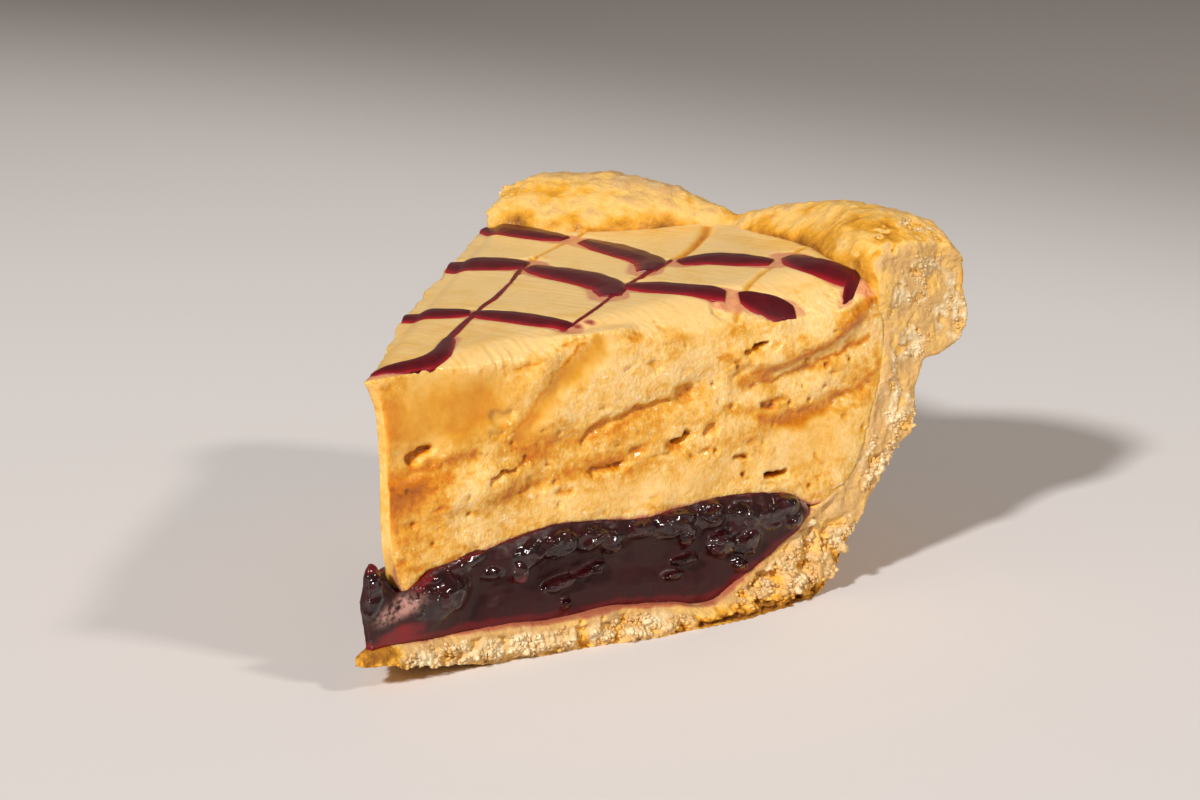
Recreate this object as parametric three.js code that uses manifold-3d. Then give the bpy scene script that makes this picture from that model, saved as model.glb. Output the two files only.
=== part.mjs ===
// One slice of peanut butter and jelly pie: a crumbly crust with a fluted rim, a layer of jelly
// with soft berries in it, and a tall whipped filling that is drizzled with stripes of jam.
//
// Millimetres, +Z up, resting on z = 0. The slice is drawn round the tip of its wedge: r is the
// distance from the tip, the angle is 0 along the middle of the wedge, and +X runs to the rim.
// The origin is then moved under the middle of the bounding box.

import * as THREE from 'three';
import { ImprovedNoise } from 'three/addons/math/ImprovedNoise.js';
import { mergeVertices } from 'three/addons/utils/BufferGeometryUtils.js';
import Module from 'manifold-3d';

// ---- Driving dimensions ----------------------------------------------------------------------

const HALF_ANGLE = THREE.MathUtils.degToRad(22.5); // an eighth of a round pie
const BASE_RADIUS = 90; // where the flat bottom turns up into the wall
const BASE_START = 24; // where the lifted tip comes down onto the flat bottom
const RIM_RADIUS = 125;
const RIM_CREST = 65; // on the humps of the fluted rim
const TIP_HEIGHT = 51.5; // top of the filling over the tip
const TOP_SLOPE = 0.056; // the top rises toward the rim
const GAP = 0.5; // clearance between neighbouring layers
const WALL_GAP = 1; // clearance between the filling and the wall
const MIDDLE_X = 61.2; // middle of the slice's length, from the tip of the wedge
const MIDDLE_Y = -0.1;

// Lattice steps along the slice, across its angle and through its thickness.
const ACROSS = 14;
const CRUST_STEPS = { base: 28, wall: 22, thick: 4 };
const JELLY_STEPS = { along: 34, thick: 5 };
const FILLING_STEPS = { along: 36, thick: 13 };

// Section outlines, [r, z] on a cut, from the tip outward.
const UNDERSIDE = [[0, 5], [6, 4.2], [15, 1.8], [BASE_START, 0]];
const CRUST_TOP = [[0, 7.2], [12, 7], [25, 6.6], [36, 5.6], [48, 5.8], [60, 4.4], [68, 3.1],
  [76, 6.6], [84, 10.8], [90.4, 15.9]];
const JELLY_TOP = [[2, 20.2], [4.6, 19.8], [7.6, 15.4], [9.6, 16], [13, 18.4], [23, 20.2],
  [36, 22], [54, 20.4], [66, 21.3], [82, 20.3], [86, 19.2], [90.4, 17]];
const OUTER_WALL = [[BASE_RADIUS, 0], [94, 2.2], [98.4, 8], [103, 15], [108.2, 21.5], [112.8, 28],
  [114, 35], [115.4, 39], [120.5, 40], [124, 45], [RIM_RADIUS, 51.5], [123.8, 56.4], [120.5, 60]];

// Inner face of the wall, [z, r], up to the top of the filling.
const INNER_WALL = [[15.9, 90.4], [19, 96.2], [24.5, 100.4], [32, 103.2], [38, 105.4], [46, 105.8],
  [52, 104.6], [58, 104.6]];

// The fluted rim, by angle in degrees: two humps with a dip between them. The humps lean in over
// the filling, and the rim falls away where the slice was cut.
const CREST_HEIGHT = [[-22.5, 60.8], [-20, 63.3], [-14, 64.7], [-10, 64.4], [-6, 62.6], [-2, 61],
  [0.5, 59.2], [3, 60.8], [6, 63.2], [11, RIM_CREST], [16, RIM_CREST], [20, 64.2], [22.5, 61.5]];
const INNER_RADIUS_AT_TOP = [[-22.5, 104], [-17, 102.5], [-12, 107], [-7, 110], [-2, 111.5],
  [1, 113.5], [3.5, 111], [6, 106.5], [10, 102], [15, 100], [20, 102], [22.5, 103]];
const LEAN_ABOVE_TOP = [[-22.5, -0.6], [-17, 0.9], [0, 1], [8, 1.3], [18, 1.3], [22.5, 0.4]];

// Front edge of the filling, [z, r]: a thin lip at the top hangs out over a hollowed tip.
const TIP_EDGE = [[14, 6.5], [18, 4.8], [23, 3.9], [34, 3.7], [42, 3.2], [47, 2.4], [49.6, 1.6],
  [TIP_HEIGHT, 0.4]];

// ---- Small mathematics -----------------------------------------------------------------------

const noise = new ImprovedNoise();
const { clamp, lerp, smoothstep } = THREE.MathUtils;

// A smooth line through [x, y] points, as a function of x.
function smoothLine(points) {
  const slopes = points.map((_, i) => {
    const a = points[Math.max(i - 1, 0)];
    const b = points[Math.min(i + 1, points.length - 1)];
    return (b[1] - a[1]) / (b[0] - a[0]);
  });
  return (x) => {
    const at = clamp(x, points[0][0], points[points.length - 1][0]);
    const i = clamp(points.findIndex((p) => p[0] > at) - 1, 0, points.length - 2);
    const j = points.findIndex((p) => p[0] > at) < 0 ? points.length - 2 : i;
    const [x0, y0] = points[j];
    const [x1, y1] = points[j + 1];
    const w = x1 - x0;
    const t = (at - x0) / w;
    const rise = y1 - y0;
    const a = slopes[j] * w - rise;
    const b = rise - slopes[j + 1] * w;
    return y0 + t * rise + t * (1 - t) * ((1 - t) * a + t * b);
  };
}

// Noise of about -1 to 1 with bumps of the given size, always the same for the same seed.
function bumps(x, y, z, size, seed) {
  return 1.6 * noise.noise(x / size + seed, y / size + 2.3 * seed, z / size + 0.7 * seed);
}

// Distance from a point to a run of straight pieces.
function distanceToLine(x, y, line) {
  let best = Infinity;
  for (let i = 0; i < line.length - 1; i++) {
    const [ax, ay] = line[i];
    const [bx, by] = line[i + 1];
    const length2 = (bx - ax) ** 2 + (by - ay) ** 2;
    const t = clamp(((x - ax) * (bx - ax) + (y - ay) * (by - ay)) / length2, 0, 1);
    best = Math.min(best, Math.hypot(x - ax - t * (bx - ax), y - ay - t * (by - ay)));
  }
  return best;
}

// A rounded ridge (or, with a negative height, a groove) along a line.
function ridge(x, y, { line, height, width }) {
  const d = distanceToLine(x, y, line) / width;
  return height * Math.exp(-d * d);
}

const underside = smoothLine(UNDERSIDE);
const crustTop = smoothLine(CRUST_TOP);
const jellyTop = smoothLine(JELLY_TOP);
const innerWall = smoothLine(INNER_WALL);
const tipEdge = smoothLine(TIP_EDGE);

// ---- Shared surfaces -------------------------------------------------------------------------

const crestHeight = smoothLine(CREST_HEIGHT);
const innerRadiusAtTop = smoothLine(INNER_RADIUS_AT_TOP);
const leanAboveTop = smoothLine(LEAN_ABOVE_TOP);
const WALL_RADIUS = 104.6;
const FLUTE_START = 38; // the wall is round below this height
const FLUTE_FULL = 56;
const LEAN_START = 58;

// Radius of the crust's inner face at a height.
function innerRadius(z, angle) {
  const degrees = THREE.MathUtils.radToDeg(angle);
  const fluted = (innerRadiusAtTop(degrees) - WALL_RADIUS) * smoothstep(z, FLUTE_START, FLUTE_FULL);
  return innerWall(z) + fluted + leanAboveTop(degrees) * Math.max(z - LEAN_START, 0);
}

// Floor and ceiling of the jelly, rolling gently across the slice.
function roll(r, angle) {
  const y = r * angle;
  return 0.5 * bumps(r, y, 0, 16, 4.1) * smoothstep(r, 10, 30) * (1 - smoothstep(r, 78, 88));
}

function jellyFloor(r, angle) {
  return crustTop(r) + 0.5 * roll(r, angle);
}

function jellyCeiling(r, angle) {
  return jellyTop(r) + roll(r, angle);
}

// The top of the filling, with a shoulder that is worn round along the near cut.
const shoulderDrop = smoothLine([[0, 0.2], [12, 1], [26, 2.4], [42, 3], [58, 4], [72, 5], [88, 5.8],
  [104, 5]]);
const shoulderWidth = smoothLine([[0, 1.5], [12, 3], [26, 6], [42, 6.5], [58, 7.5], [72, 9],
  [88, 11], [104, 10]]);
const FAR_EDGE = { drop: 0.8, width: 2.5 };

function fillingTop(x, y) {
  const r = Math.hypot(x, y);
  const inside = x * Math.sin(HALF_ANGLE) + y * Math.cos(HALF_ANGLE);
  const insideFar = x * Math.sin(HALF_ANGLE) - y * Math.cos(HALF_ANGLE);
  const near = clamp(1 - inside / shoulderWidth(r), 0, 1);
  const far = clamp(1 - insideFar / FAR_EDGE.width, 0, 1);
  const plane = TIP_HEIGHT + TOP_SLOPE * x;
  return plane - shoulderDrop(r) * near * near - FAR_EDGE.drop * far * far + 0.25 * bumps(x, y, 0, 24, 8.3);
}

// ---- Relief of the cut faces: how far a point stands out of the flat of the cut ---------------

// Marks of the knife in the filling's near cut: a proud slab, its valley, grooves and folds.
const FILLING_MARKS = [
  { line: [[35, 42], [45, 45], [58, 46]], height: 1.9, width: 5.5 },
  { line: [[30, 40.5], [38, 46], [45, 52]], height: -2, width: 2.4 },
  { line: [[28, 35.5], [40, 35.5], [47, 37.5], [67, 41]], height: -1.7, width: 1.8 },
  { line: [[4, 34], [8, 36.5], [12, 37]], height: -1.2, width: 2 },
  { line: [[16, 30], [25, 31]], height: 1.3, width: 3.2 },
  { line: [[32, 30], [50, 31]], height: -0.8, width: 3 },
  { line: [[76, 44], [88, 44.5], [98, 48.5]], height: 1.5, width: 2.6 },
  { line: [[74, 40.5], [86, 40.5], [98, 44.5]], height: -1.4, width: 1.8 },
  { line: [[82, 32], [92, 34], [102, 37]], height: -1.1, width: 2 },
];

// Soft berries and runs of jelly in the jelly's near cut.
const JELLY_LUMPS = [
  { line: [[1, 13], [2, 16]], height: 1.6, width: 3.4 },
  { line: [[12, 13], [15, 13.5]], height: 1.8, width: 3.6 },
  { line: [[26, 17], [31, 18]], height: 1.6, width: 2.6 },
  { line: [[35, 19], [50, 18]], height: 1.4, width: 2.2 },
  { line: [[57, 18], [64, 17]], height: 1.6, width: 2.6 },
  { line: [[72, 14], [77, 17]], height: 1.5, width: 3 },
  { line: [[80, 17], [87, 15]], height: 1.3, width: 2.8 },
  { line: [[20, 12], [45, 13.5], [68, 12]], height: -1, width: 2.4 },
];

function marks(list, r, z) {
  return list.reduce((sum, mark) => sum + ridge(r, z, mark), 0);
}

// Each relief function gives the height at (r, z) on the near (-Y) or the far (+Y) cut.
function fillingRelief(r, z, near) {
  const rough = 0.35 * bumps(r, z, near ? 0 : 40, 7, 1.7);
  return near ? marks(FILLING_MARKS, r, z) + rough : 2 * rough + 0.6 * bumps(r, z, 9, 18, 5.2);
}

function jellyRelief(r, z, near) {
  const lumps = near ? marks(JELLY_LUMPS, r, z) : 1.2 * bumps(r, z, 30, 7, 3.3);
  return lumps + 0.4 * bumps(r, z, 5, 4.5, 6.4);
}

function crustRelief(r, z, near) {
  const bulge = near ? 4.4 * Math.exp(-(((r - 64) / 24) ** 2)) * (1 - smoothstep(z, 3, 8)) : 0;
  return bulge + 0.9 * bumps(r, z, near ? 0 : 20, 6, 2.9) + 0.4 * bumps(r, z, 8, 3, 7.7);
}

// The far cut was made a little wide of the wedge, short of the rim, and the filling is hollowed
// below the lip of its tip.
const FAR_WIDE = 2.6;
const FAR_HOLLOW = 3;

function farOffset(r, z, hollowed) {
  const wide = FAR_WIDE * smoothstep(r, 6, 38) * (1 - smoothstep(r, 99, 110));
  const lip = (1 - smoothstep(z, 44, 50)) * smoothstep(z, 13, 20);
  return wide - (hollowed ? FAR_HOLLOW * lip * (1 - smoothstep(r, 8, 32)) : 0);
}

// How much of a layer's forward push is felt at a radius: all at the tip, none from here on.
const TIP_REACH = 22;

function tipShare(r) {
  return 1 - smoothstep(r, 0, TIP_REACH);
}

// A point of the wedge. side runs from -1 on the near cut to 1 on the far one. The relief fades out
// toward the middle, and the blunt tip is pushed forward to where the two cuts would meet.
function wedgePoint(r, z, side, { relief, forward, hollowed = false }) {
  const angle = side * HALF_ANGLE;
  const narrow = 1 - smoothstep(r, 6, 34);
  const nearShare = lerp(side < 0 ? side * side : 0, (1 - side) / 2, narrow);
  const farShare = lerp(side > 0 ? side * side : 0, (1 + side) / 2, narrow);
  const calm = Math.min(1, 0.3 + r / 16);
  const half = 0.7 * r * Math.sin(HALF_ANGLE);
  const nearOut = Math.max(nearShare > 0 ? calm * relief(r, z, true) : 0, -half);
  const farOut = Math.max(farShare > 0 ? calm * relief(r, z, false) + farOffset(r, z, hollowed) : 0, -half);
  const back = Math.sin(HALF_ANGLE) * (nearOut * nearShare + farOut * farShare);
  const x = r * Math.cos(angle) - forward * tipShare(r) - back;
  const y = r * Math.sin(angle) + Math.cos(HALF_ANGLE) * (farOut * farShare - nearOut * nearShare);
  return new THREE.Vector3(x, y, z);
}

// How each layer is cut: its relief and how far its tip is pushed forward. The crust and the jelly
// reach past the tip of the filling.
const CRUST_CUT = { relief: crustRelief, forward: 4.6 };
const JELLY_CUT = { relief: jellyRelief, forward: 2.8 };
const FILLING_CUT = { relief: fillingRelief, forward: 1.2, hollowed: true };
const CRUST_TIP = { under: 1.8, over: 3 };
const JELLY_TIP = 2.4;

// ---- Solids ----------------------------------------------------------------------------------

// A closed skin over a box-shaped lattice, whose points are placed by place(u, v, w) with u and w
// from 0 to 1 and v from -1 to 1. (u, v, w) is right-handed, so the faces point out.
function block(nu, nv, nw, place) {
  const positions = [];
  const indices = [];
  const seen = new Map();
  const vertex = (i, j, k) => {
    const key = (i * (nv + 1) + j) * (nw + 1) + k;
    if (!seen.has(key)) {
      seen.set(key, positions.length / 3);
      positions.push(...place(i / nu, (2 * j) / nv - 1, k / nw).toArray());
    }
    return seen.get(key);
  };
  const quad = (a, b, c, d, flip) => {
    indices.push(...(flip ? [a, c, b, a, d, c] : [a, b, c, a, c, d]));
  };
  for (const flip of [false, true]) {
    const k = flip ? 0 : nw;
    for (let i = 0; i < nu; i++) {
      for (let j = 0; j < nv; j++) {
        quad(vertex(i, j, k), vertex(i + 1, j, k), vertex(i + 1, j + 1, k), vertex(i, j + 1, k), flip);
      }
    }
    const j = flip ? 0 : nv;
    for (let i = 0; i < nu; i++) {
      for (let m = 0; m < nw; m++) {
        quad(vertex(i, j, m), vertex(i, j, m + 1), vertex(i + 1, j, m + 1), vertex(i + 1, j, m), flip);
      }
    }
    const i = flip ? 0 : nu;
    for (let n = 0; n < nv; n++) {
      for (let m = 0; m < nw; m++) {
        quad(vertex(i, n, m), vertex(i, n + 1, m), vertex(i, n + 1, m + 1), vertex(i, n, m + 1), flip);
      }
    }
  }
  const geometry = new THREE.BufferGeometry();
  geometry.setAttribute('position', new THREE.Float32BufferAttribute(positions, 3));
  geometry.setIndex(indices);
  return geometry;
}

// The crust: a flat base with a lifted tip, a slanted wall and a thick rim that hangs outward.
function crustGeometry() {
  const steps = CRUST_STEPS.base + CRUST_STEPS.wall;
  const baseShare = CRUST_STEPS.base / steps;
  const wall = new THREE.SplineCurve(OUTER_WALL.map(([r, z]) => new THREE.Vector2(r, z)));
  const drawnCrest = 61.5; // the crest that the outline of the wall is drawn for

  const outer = (u, angle) => {
    if (u <= baseShare) {
      const r = lerp(CRUST_TIP.under, BASE_RADIUS, u / baseShare);
      return [r, r < BASE_START ? Math.max(0, underside(r)) : 0];
    }
    const p = wall.getPointAt((u - baseShare) / (1 - baseShare));
    const arc = RIM_RADIUS * angle;
    const rough = 0.6 * bumps(p.x, arc, p.y, 9, 3.7) + 0.3 * bumps(p.x, arc, p.y, 4, 5.1);
    const lump = rough * smoothstep(p.y, 1, 8);
    const rise = crestHeight(THREE.MathUtils.radToDeg(angle)) - drawnCrest;
    const flute = smoothstep(p.y, 40, 58);
    return [p.x + 0.5 * rise * flute + lump, Math.max(0, p.y + rise * flute + 0.5 * lump)];
  };
  const inner = (u, angle) => {
    if (u <= baseShare) {
      const r = lerp(CRUST_TIP.over, INNER_WALL[0][1], u / baseShare);
      return [r, jellyFloor(r, angle)];
    }
    const top = crestHeight(THREE.MathUtils.radToDeg(angle)) - 2.6;
    const z = lerp(INNER_WALL[0][0], top, (u - baseShare) / (1 - baseShare));
    return [innerRadius(z, angle), z];
  };
  return block(steps, ACROSS, CRUST_STEPS.thick, (u, v, w) => {
    const angle = v * HALF_ANGLE;
    const [r0, z0] = outer(u, angle);
    const [r1, z1] = inner(u, angle);
    const swell = 2 + 0.6 * bumps(RIM_RADIUS * angle, 9 * w, 0, 9, 2.2);
    const crest = smoothstep(u, 0.97, 1) * Math.sin(Math.PI * w) * swell;
    return wedgePoint(lerp(r0, r1, w), lerp(z0, z1, w) + crest, v, CRUST_CUT);
  });
}

function jellyGeometry() {
  const end = INNER_WALL[0][1] - 1.2;
  return block(JELLY_STEPS.along, ACROSS, JELLY_STEPS.thick, (u, v, w) => {
    const angle = v * HALF_ANGLE;
    const r = lerp(JELLY_TIP, end, u);
    const swell = 1.2 * Math.sin(Math.PI * w) * (1 - smoothstep(r, 2, 8));
    const z = lerp(jellyFloor(r, angle) + GAP, jellyCeiling(r, angle), w);
    return wedgePoint(r, z, v, { ...JELLY_CUT, forward: JELLY_CUT.forward + swell });
  });
}

function fillingGeometry() {
  const height = (r, angle, side, w) => {
    const overJelly = r + (JELLY_CUT.forward - FILLING_CUT.forward) * tipShare(r);
    const low = jellyCeiling(overJelly, angle) + GAP * (1 + tipShare(r));
    const plan = wedgePoint(r, TIP_HEIGHT, side, FILLING_CUT);
    return lerp(low, fillingTop(plan.x, plan.y), w);
  };
  return block(FILLING_STEPS.along, ACROSS, FILLING_STEPS.thick, (u, v, w) => {
    const angle = v * HALF_ANGLE;
    const start = tipEdge(lerp(TIP_EDGE[0][0], TIP_HEIGHT, w)) + FILLING_CUT.forward;
    const end = innerRadius(height(WALL_RADIUS, angle, v, w), angle) - WALL_GAP;
    const r = lerp(start, end, u);
    return wedgePoint(r, height(r, angle, v, w), v, FILLING_CUT);
  });
}

// ---- Jam stripes -----------------------------------------------------------------------------

// Centre lines [x, y] on the top and full widths. Each stripe runs across the slice, and the
// drawn lines that cross them pull their ends toward the tip.
const STRIPES = [
  { line: [[92, 41.5], [94, 34], [94.6, 27], [92.5, 21.5]], width: 5.4 },
  { line: [[94.5, 18], [92, 12], [88, 4], [83, -1.5], [76, -5]], width: 4.6 },
  { line: [[87, -5], [92, -8], [94, -13], [94.5, -20]], width: 6.4 },
  { line: [[98, -22], [95, -26], [94, -31], [96, -35.5]], width: 6 },
  { line: [[66, 32.5], [71, 27.5], [73.4, 22], [72, 17]], width: 5.6 },
  { line: [[71, 15], [72, 9], [70, 2], [65.5, -4], [60, -8]], width: 5 },
  { line: [[69.5, -7.5], [71, -12], [71.4, -18], [72, -24]], width: 5.2 },
  { line: [[73.4, -25.6], [76, -28.6], [80, -32]], width: 4.6 },
  { line: [[33, 18.5], [38, 12], [41, 7]], width: 5 },
  { line: [[41.6, 6.4], [42.2, 0], [42, -6], [41, -12]], width: 4.4 },
  { line: [[2.2, 0.4], [7, -1], [12, -3], [17, -2.6], [25, 0.8]], width: 3.2 },
];
const STRIPE_PROUD = 0.8;
const STRIPE_SUNK = 0.9;

function stripeGeometry({ line, width }) {
  const curve = new THREE.SplineCurve(line.map(([x, y]) => new THREE.Vector2(x, y)));
  const steps = Math.max(4, Math.round(curve.getLength() / 3));
  return block(steps, 4, 1, (u, v, w) => {
    const centre = curve.getPointAt(u);
    const along = curve.getTangentAt(u);
    const taper = Math.pow(Math.sin(Math.PI * lerp(0.16, 0.84, u)), 0.8);
    const offset = 0.5 * width * taper * v;
    const x = centre.x - along.y * offset;
    const y = centre.y + along.x * offset;
    const dome = (STRIPE_PROUD + 0.12) * (1 - v * v) - 0.12;
    return new THREE.Vector3(x, y, fillingTop(x, y) + (w === 1 ? dome : -STRIPE_SUNK));
  });
}

// The jam is cut with the slice and stops at the rim, so it is kept within this plan of the top.
function planGeometry() {
  const points = [new THREE.Vector2(0, 0)];
  for (let degrees = -22.5; degrees <= 22.5; degrees += 2.5) {
    const angle = THREE.MathUtils.degToRad(degrees);
    const far = degrees > 22 ? FAR_WIDE : 0;
    const r = innerRadiusAtTop(degrees) - 1.5 * WALL_GAP;
    points.push(new THREE.Vector2(r * Math.cos(angle), r * Math.sin(angle) + far));
  }
  points.push(new THREE.Vector2(6, FAR_WIDE));
  return new THREE.ExtrudeGeometry(new THREE.Shape(points), { depth: RIM_CREST, bevelEnabled: false });
}

// ---- Joining ---------------------------------------------------------------------------------

const wasm = await Module();
wasm.setup();

function toSolid(geometry) {
  const bare = geometry.clone();
  bare.deleteAttribute('normal');
  bare.deleteAttribute('uv');
  const merged = mergeVertices(bare, 1e-4);
  return new wasm.Manifold(new wasm.Mesh({
    numProp: 3,
    vertProperties: new Float32Array(merged.attributes.position.array),
    triVerts: new Uint32Array(merged.index.array),
  }));
}

function toGeometry(solid) {
  const mesh = solid.getMesh();
  const geometry = new THREE.BufferGeometry();
  geometry.setAttribute('position', new THREE.BufferAttribute(mesh.vertProperties, 3));
  geometry.setIndex(new THREE.BufferAttribute(mesh.triVerts, 1));
  return geometry;
}

function drizzledFilling() {
  const plan = toSolid(planGeometry());
  let solid = toSolid(fillingGeometry());
  for (const stripe of STRIPES) {
    solid = solid.add(toSolid(stripeGeometry(stripe)).intersect(plan));
  }
  return toGeometry(solid);
}

// ---- The slice -------------------------------------------------------------------------------

function piece(name, geometry, color, roughness) {
  geometry.computeVertexNormals();
  const mesh = new THREE.Mesh(geometry, new THREE.MeshStandardMaterial({ color, roughness, metalness: 0 }));
  mesh.name = name;
  return mesh;
}

const slice = new THREE.Group();
slice.position.set(-MIDDLE_X, -MIDDLE_Y, 0);
slice.add(piece('crust', crustGeometry(), 0xd9ae62, 0.85));
slice.add(piece('jelly_layer', jellyGeometry(), 0x3a0c16, 0.15));
slice.add(piece('peanut_butter_filling', drizzledFilling(), 0xdfa95c, 0.5));

const root = new THREE.Group();
root.add(slice);

export default root;
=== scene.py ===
"""One slice of peanut butter and jelly pie, dressed round its CAD solids.

The crust, the jelly and the whipped filling start as copies of their solids. Each copy is remeshed
to a fine grid, worked like clay and painted with masks, which the materials then read. The jam
stripes, the berries and the crumbs are modelled here.

Blender works in metres in the row frame. The clay is worked in millimetres from the tip of the
wedge, with +X toward the rim, as the CAD source draws it.
"""

import logging
import math
from collections.abc import Iterator, Sequence
from contextlib import contextmanager
from dataclasses import dataclass, field
from enum import Enum

import bpy
import numpy as np
from mathutils import Matrix, Vector


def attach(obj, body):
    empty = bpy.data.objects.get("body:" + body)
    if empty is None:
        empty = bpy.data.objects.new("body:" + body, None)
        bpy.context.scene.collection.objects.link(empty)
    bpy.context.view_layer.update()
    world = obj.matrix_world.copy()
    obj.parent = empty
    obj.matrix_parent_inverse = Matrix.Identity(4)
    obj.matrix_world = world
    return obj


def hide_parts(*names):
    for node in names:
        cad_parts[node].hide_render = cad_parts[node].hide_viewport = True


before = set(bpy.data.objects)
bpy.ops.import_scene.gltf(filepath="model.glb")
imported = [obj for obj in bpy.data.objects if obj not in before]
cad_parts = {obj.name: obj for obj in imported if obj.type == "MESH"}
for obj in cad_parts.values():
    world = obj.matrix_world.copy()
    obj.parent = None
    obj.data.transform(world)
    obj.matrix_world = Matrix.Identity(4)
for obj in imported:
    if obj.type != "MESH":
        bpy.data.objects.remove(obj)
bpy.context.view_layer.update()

log = logging.getLogger("slice")

MM = 0.001
Line = tuple[tuple[float, float], ...]
Colour = tuple[float, float, float]
Place = tuple[float, float, float]


# ---- Small mathematics -------------------------------------------------------------------------


def ramp(low: float, high: float, x: np.ndarray) -> np.ndarray:
    """0 below low, 1 above high and smooth between."""
    t = np.clip((x - low) / (high - low), 0.0, 1.0)
    return t * t * (3.0 - 2.0 * t)


def bell(distance: np.ndarray, width: float, hard: float = 2.0) -> np.ndarray:
    """1 on the spot, falling away at the width. A harder bell has a flat middle and steep sides."""
    return np.exp(-np.power(np.abs(distance) / width, hard))


def to_line(x: np.ndarray, y: np.ndarray, line: Line) -> tuple[np.ndarray, np.ndarray]:
    """Distance from points to a drawn line.

    Args:
        x: First coordinate of each point.
        y: Second coordinate of each point.
        line: The points that the line passes.

    Returns:
        The distance, and the same with a minus sign on the right of the line.
    """
    best = np.full(len(x), np.inf)
    side = np.ones(len(x))
    for (ax, ay), (bx, by) in zip(line[:-1], line[1:]):
        dx, dy = bx - ax, by - ay
        t = np.clip(((x - ax) * dx + (y - ay) * dy) / (dx * dx + dy * dy + 1e-9), 0.0, 1.0)
        away = np.hypot(x - ax - t * dx, y - ay - t * dy)
        nearer = away < best
        best[nearer] = away[nearer]
        side[nearer] = np.sign(dx * (y - ay) - dy * (x - ax))[nearer]
    return best, best * side


class Grain:
    """Repeatable noise over points, for what no two slices share."""

    def __init__(self, seed: int) -> None:
        """Draws the tables of the noise from a seed.

        Args:
            seed: Number that the tables follow from.
        """
        draw = np.random.RandomState(seed)
        self.order = draw.permutation(256)
        lean = draw.normal(size=(256, 3))
        self.leans = lean / np.linalg.norm(lean, axis=1, keepdims=True)
        self.places = draw.rand(256, 3)
        self.shares = draw.rand(256)

    def _key(self, cell: np.ndarray) -> np.ndarray:
        """A number from 0 to 255 for each cell of the lattice.

        Args:
            cell: Whole-number places in the lattice.

        Returns:
            One number for each cell.
        """
        o = self.order
        first = o[cell[:, 0] & 255]
        second = o[(first + cell[:, 1]) & 255]
        return o[(second + cell[:, 2]) & 255]

    def waves(self, points: np.ndarray, size: float | Sequence[float]) -> np.ndarray:
        """Smooth noise of about -1 to 1.

        Args:
            points: Points in millimetres.
            size: Size of the waves, the same all ways or one for each axis.

        Returns:
            One value for each point.
        """
        at = points / np.asarray(size, float)
        base = np.floor(at).astype(int)
        part = at - base
        fade = part**3 * (part * (part * 6 - 15) + 10)
        total = np.zeros(len(at))
        for corner in np.ndindex(2, 2, 2):
            step = np.array(corner)
            share = np.prod(np.where(step == 1, fade, 1 - fade), axis=1)
            lean = self.leans[self._key(base + step)]
            total += share * np.einsum("ij,ij->i", lean, part - step)
        return 1.7 * total

    def layers(self, points: np.ndarray, size: float, count: int = 3) -> np.ndarray:
        """Waves with ever finer waves on them."""
        return sum(self.waves(points + 37.0 * i, size / 2.0**i) / 2.0**i for i in range(count))

    def lumps(self, points: np.ndarray, size: float) -> tuple[np.ndarray, np.ndarray, np.ndarray]:
        """Round lumps packed side by side.

        Args:
            points: Points in millimetres.
            size: Size of a lump.

        Returns:
            Distance to the nearest lump's middle and to the next one's, both as a share of the
            size, and a number from 0 to 1 that is each lump's own.
        """
        at = points / size
        base = np.floor(at).astype(int)
        first = np.full(len(at), 9.0)
        second = np.full(len(at), 9.0)
        own = np.zeros(len(at))
        for offset in np.ndindex(3, 3, 3):
            cell = base + np.array(offset) - 1
            key = self._key(cell)
            away = np.linalg.norm(cell + 0.15 + 0.7 * self.places[key] - at, axis=1)
            nearer = away < first
            second = np.where(nearer, first, np.minimum(second, away))
            own = np.where(nearer, self.shares[key], own)
            first = np.where(nearer, away, first)
        return first, second, own


# ---- The wedge ---------------------------------------------------------------------------------


class Cut(Enum):
    """The two cuts of the slice, as the side of the wedge that each is on."""

    NEAR = -1
    FAR = 1


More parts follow.
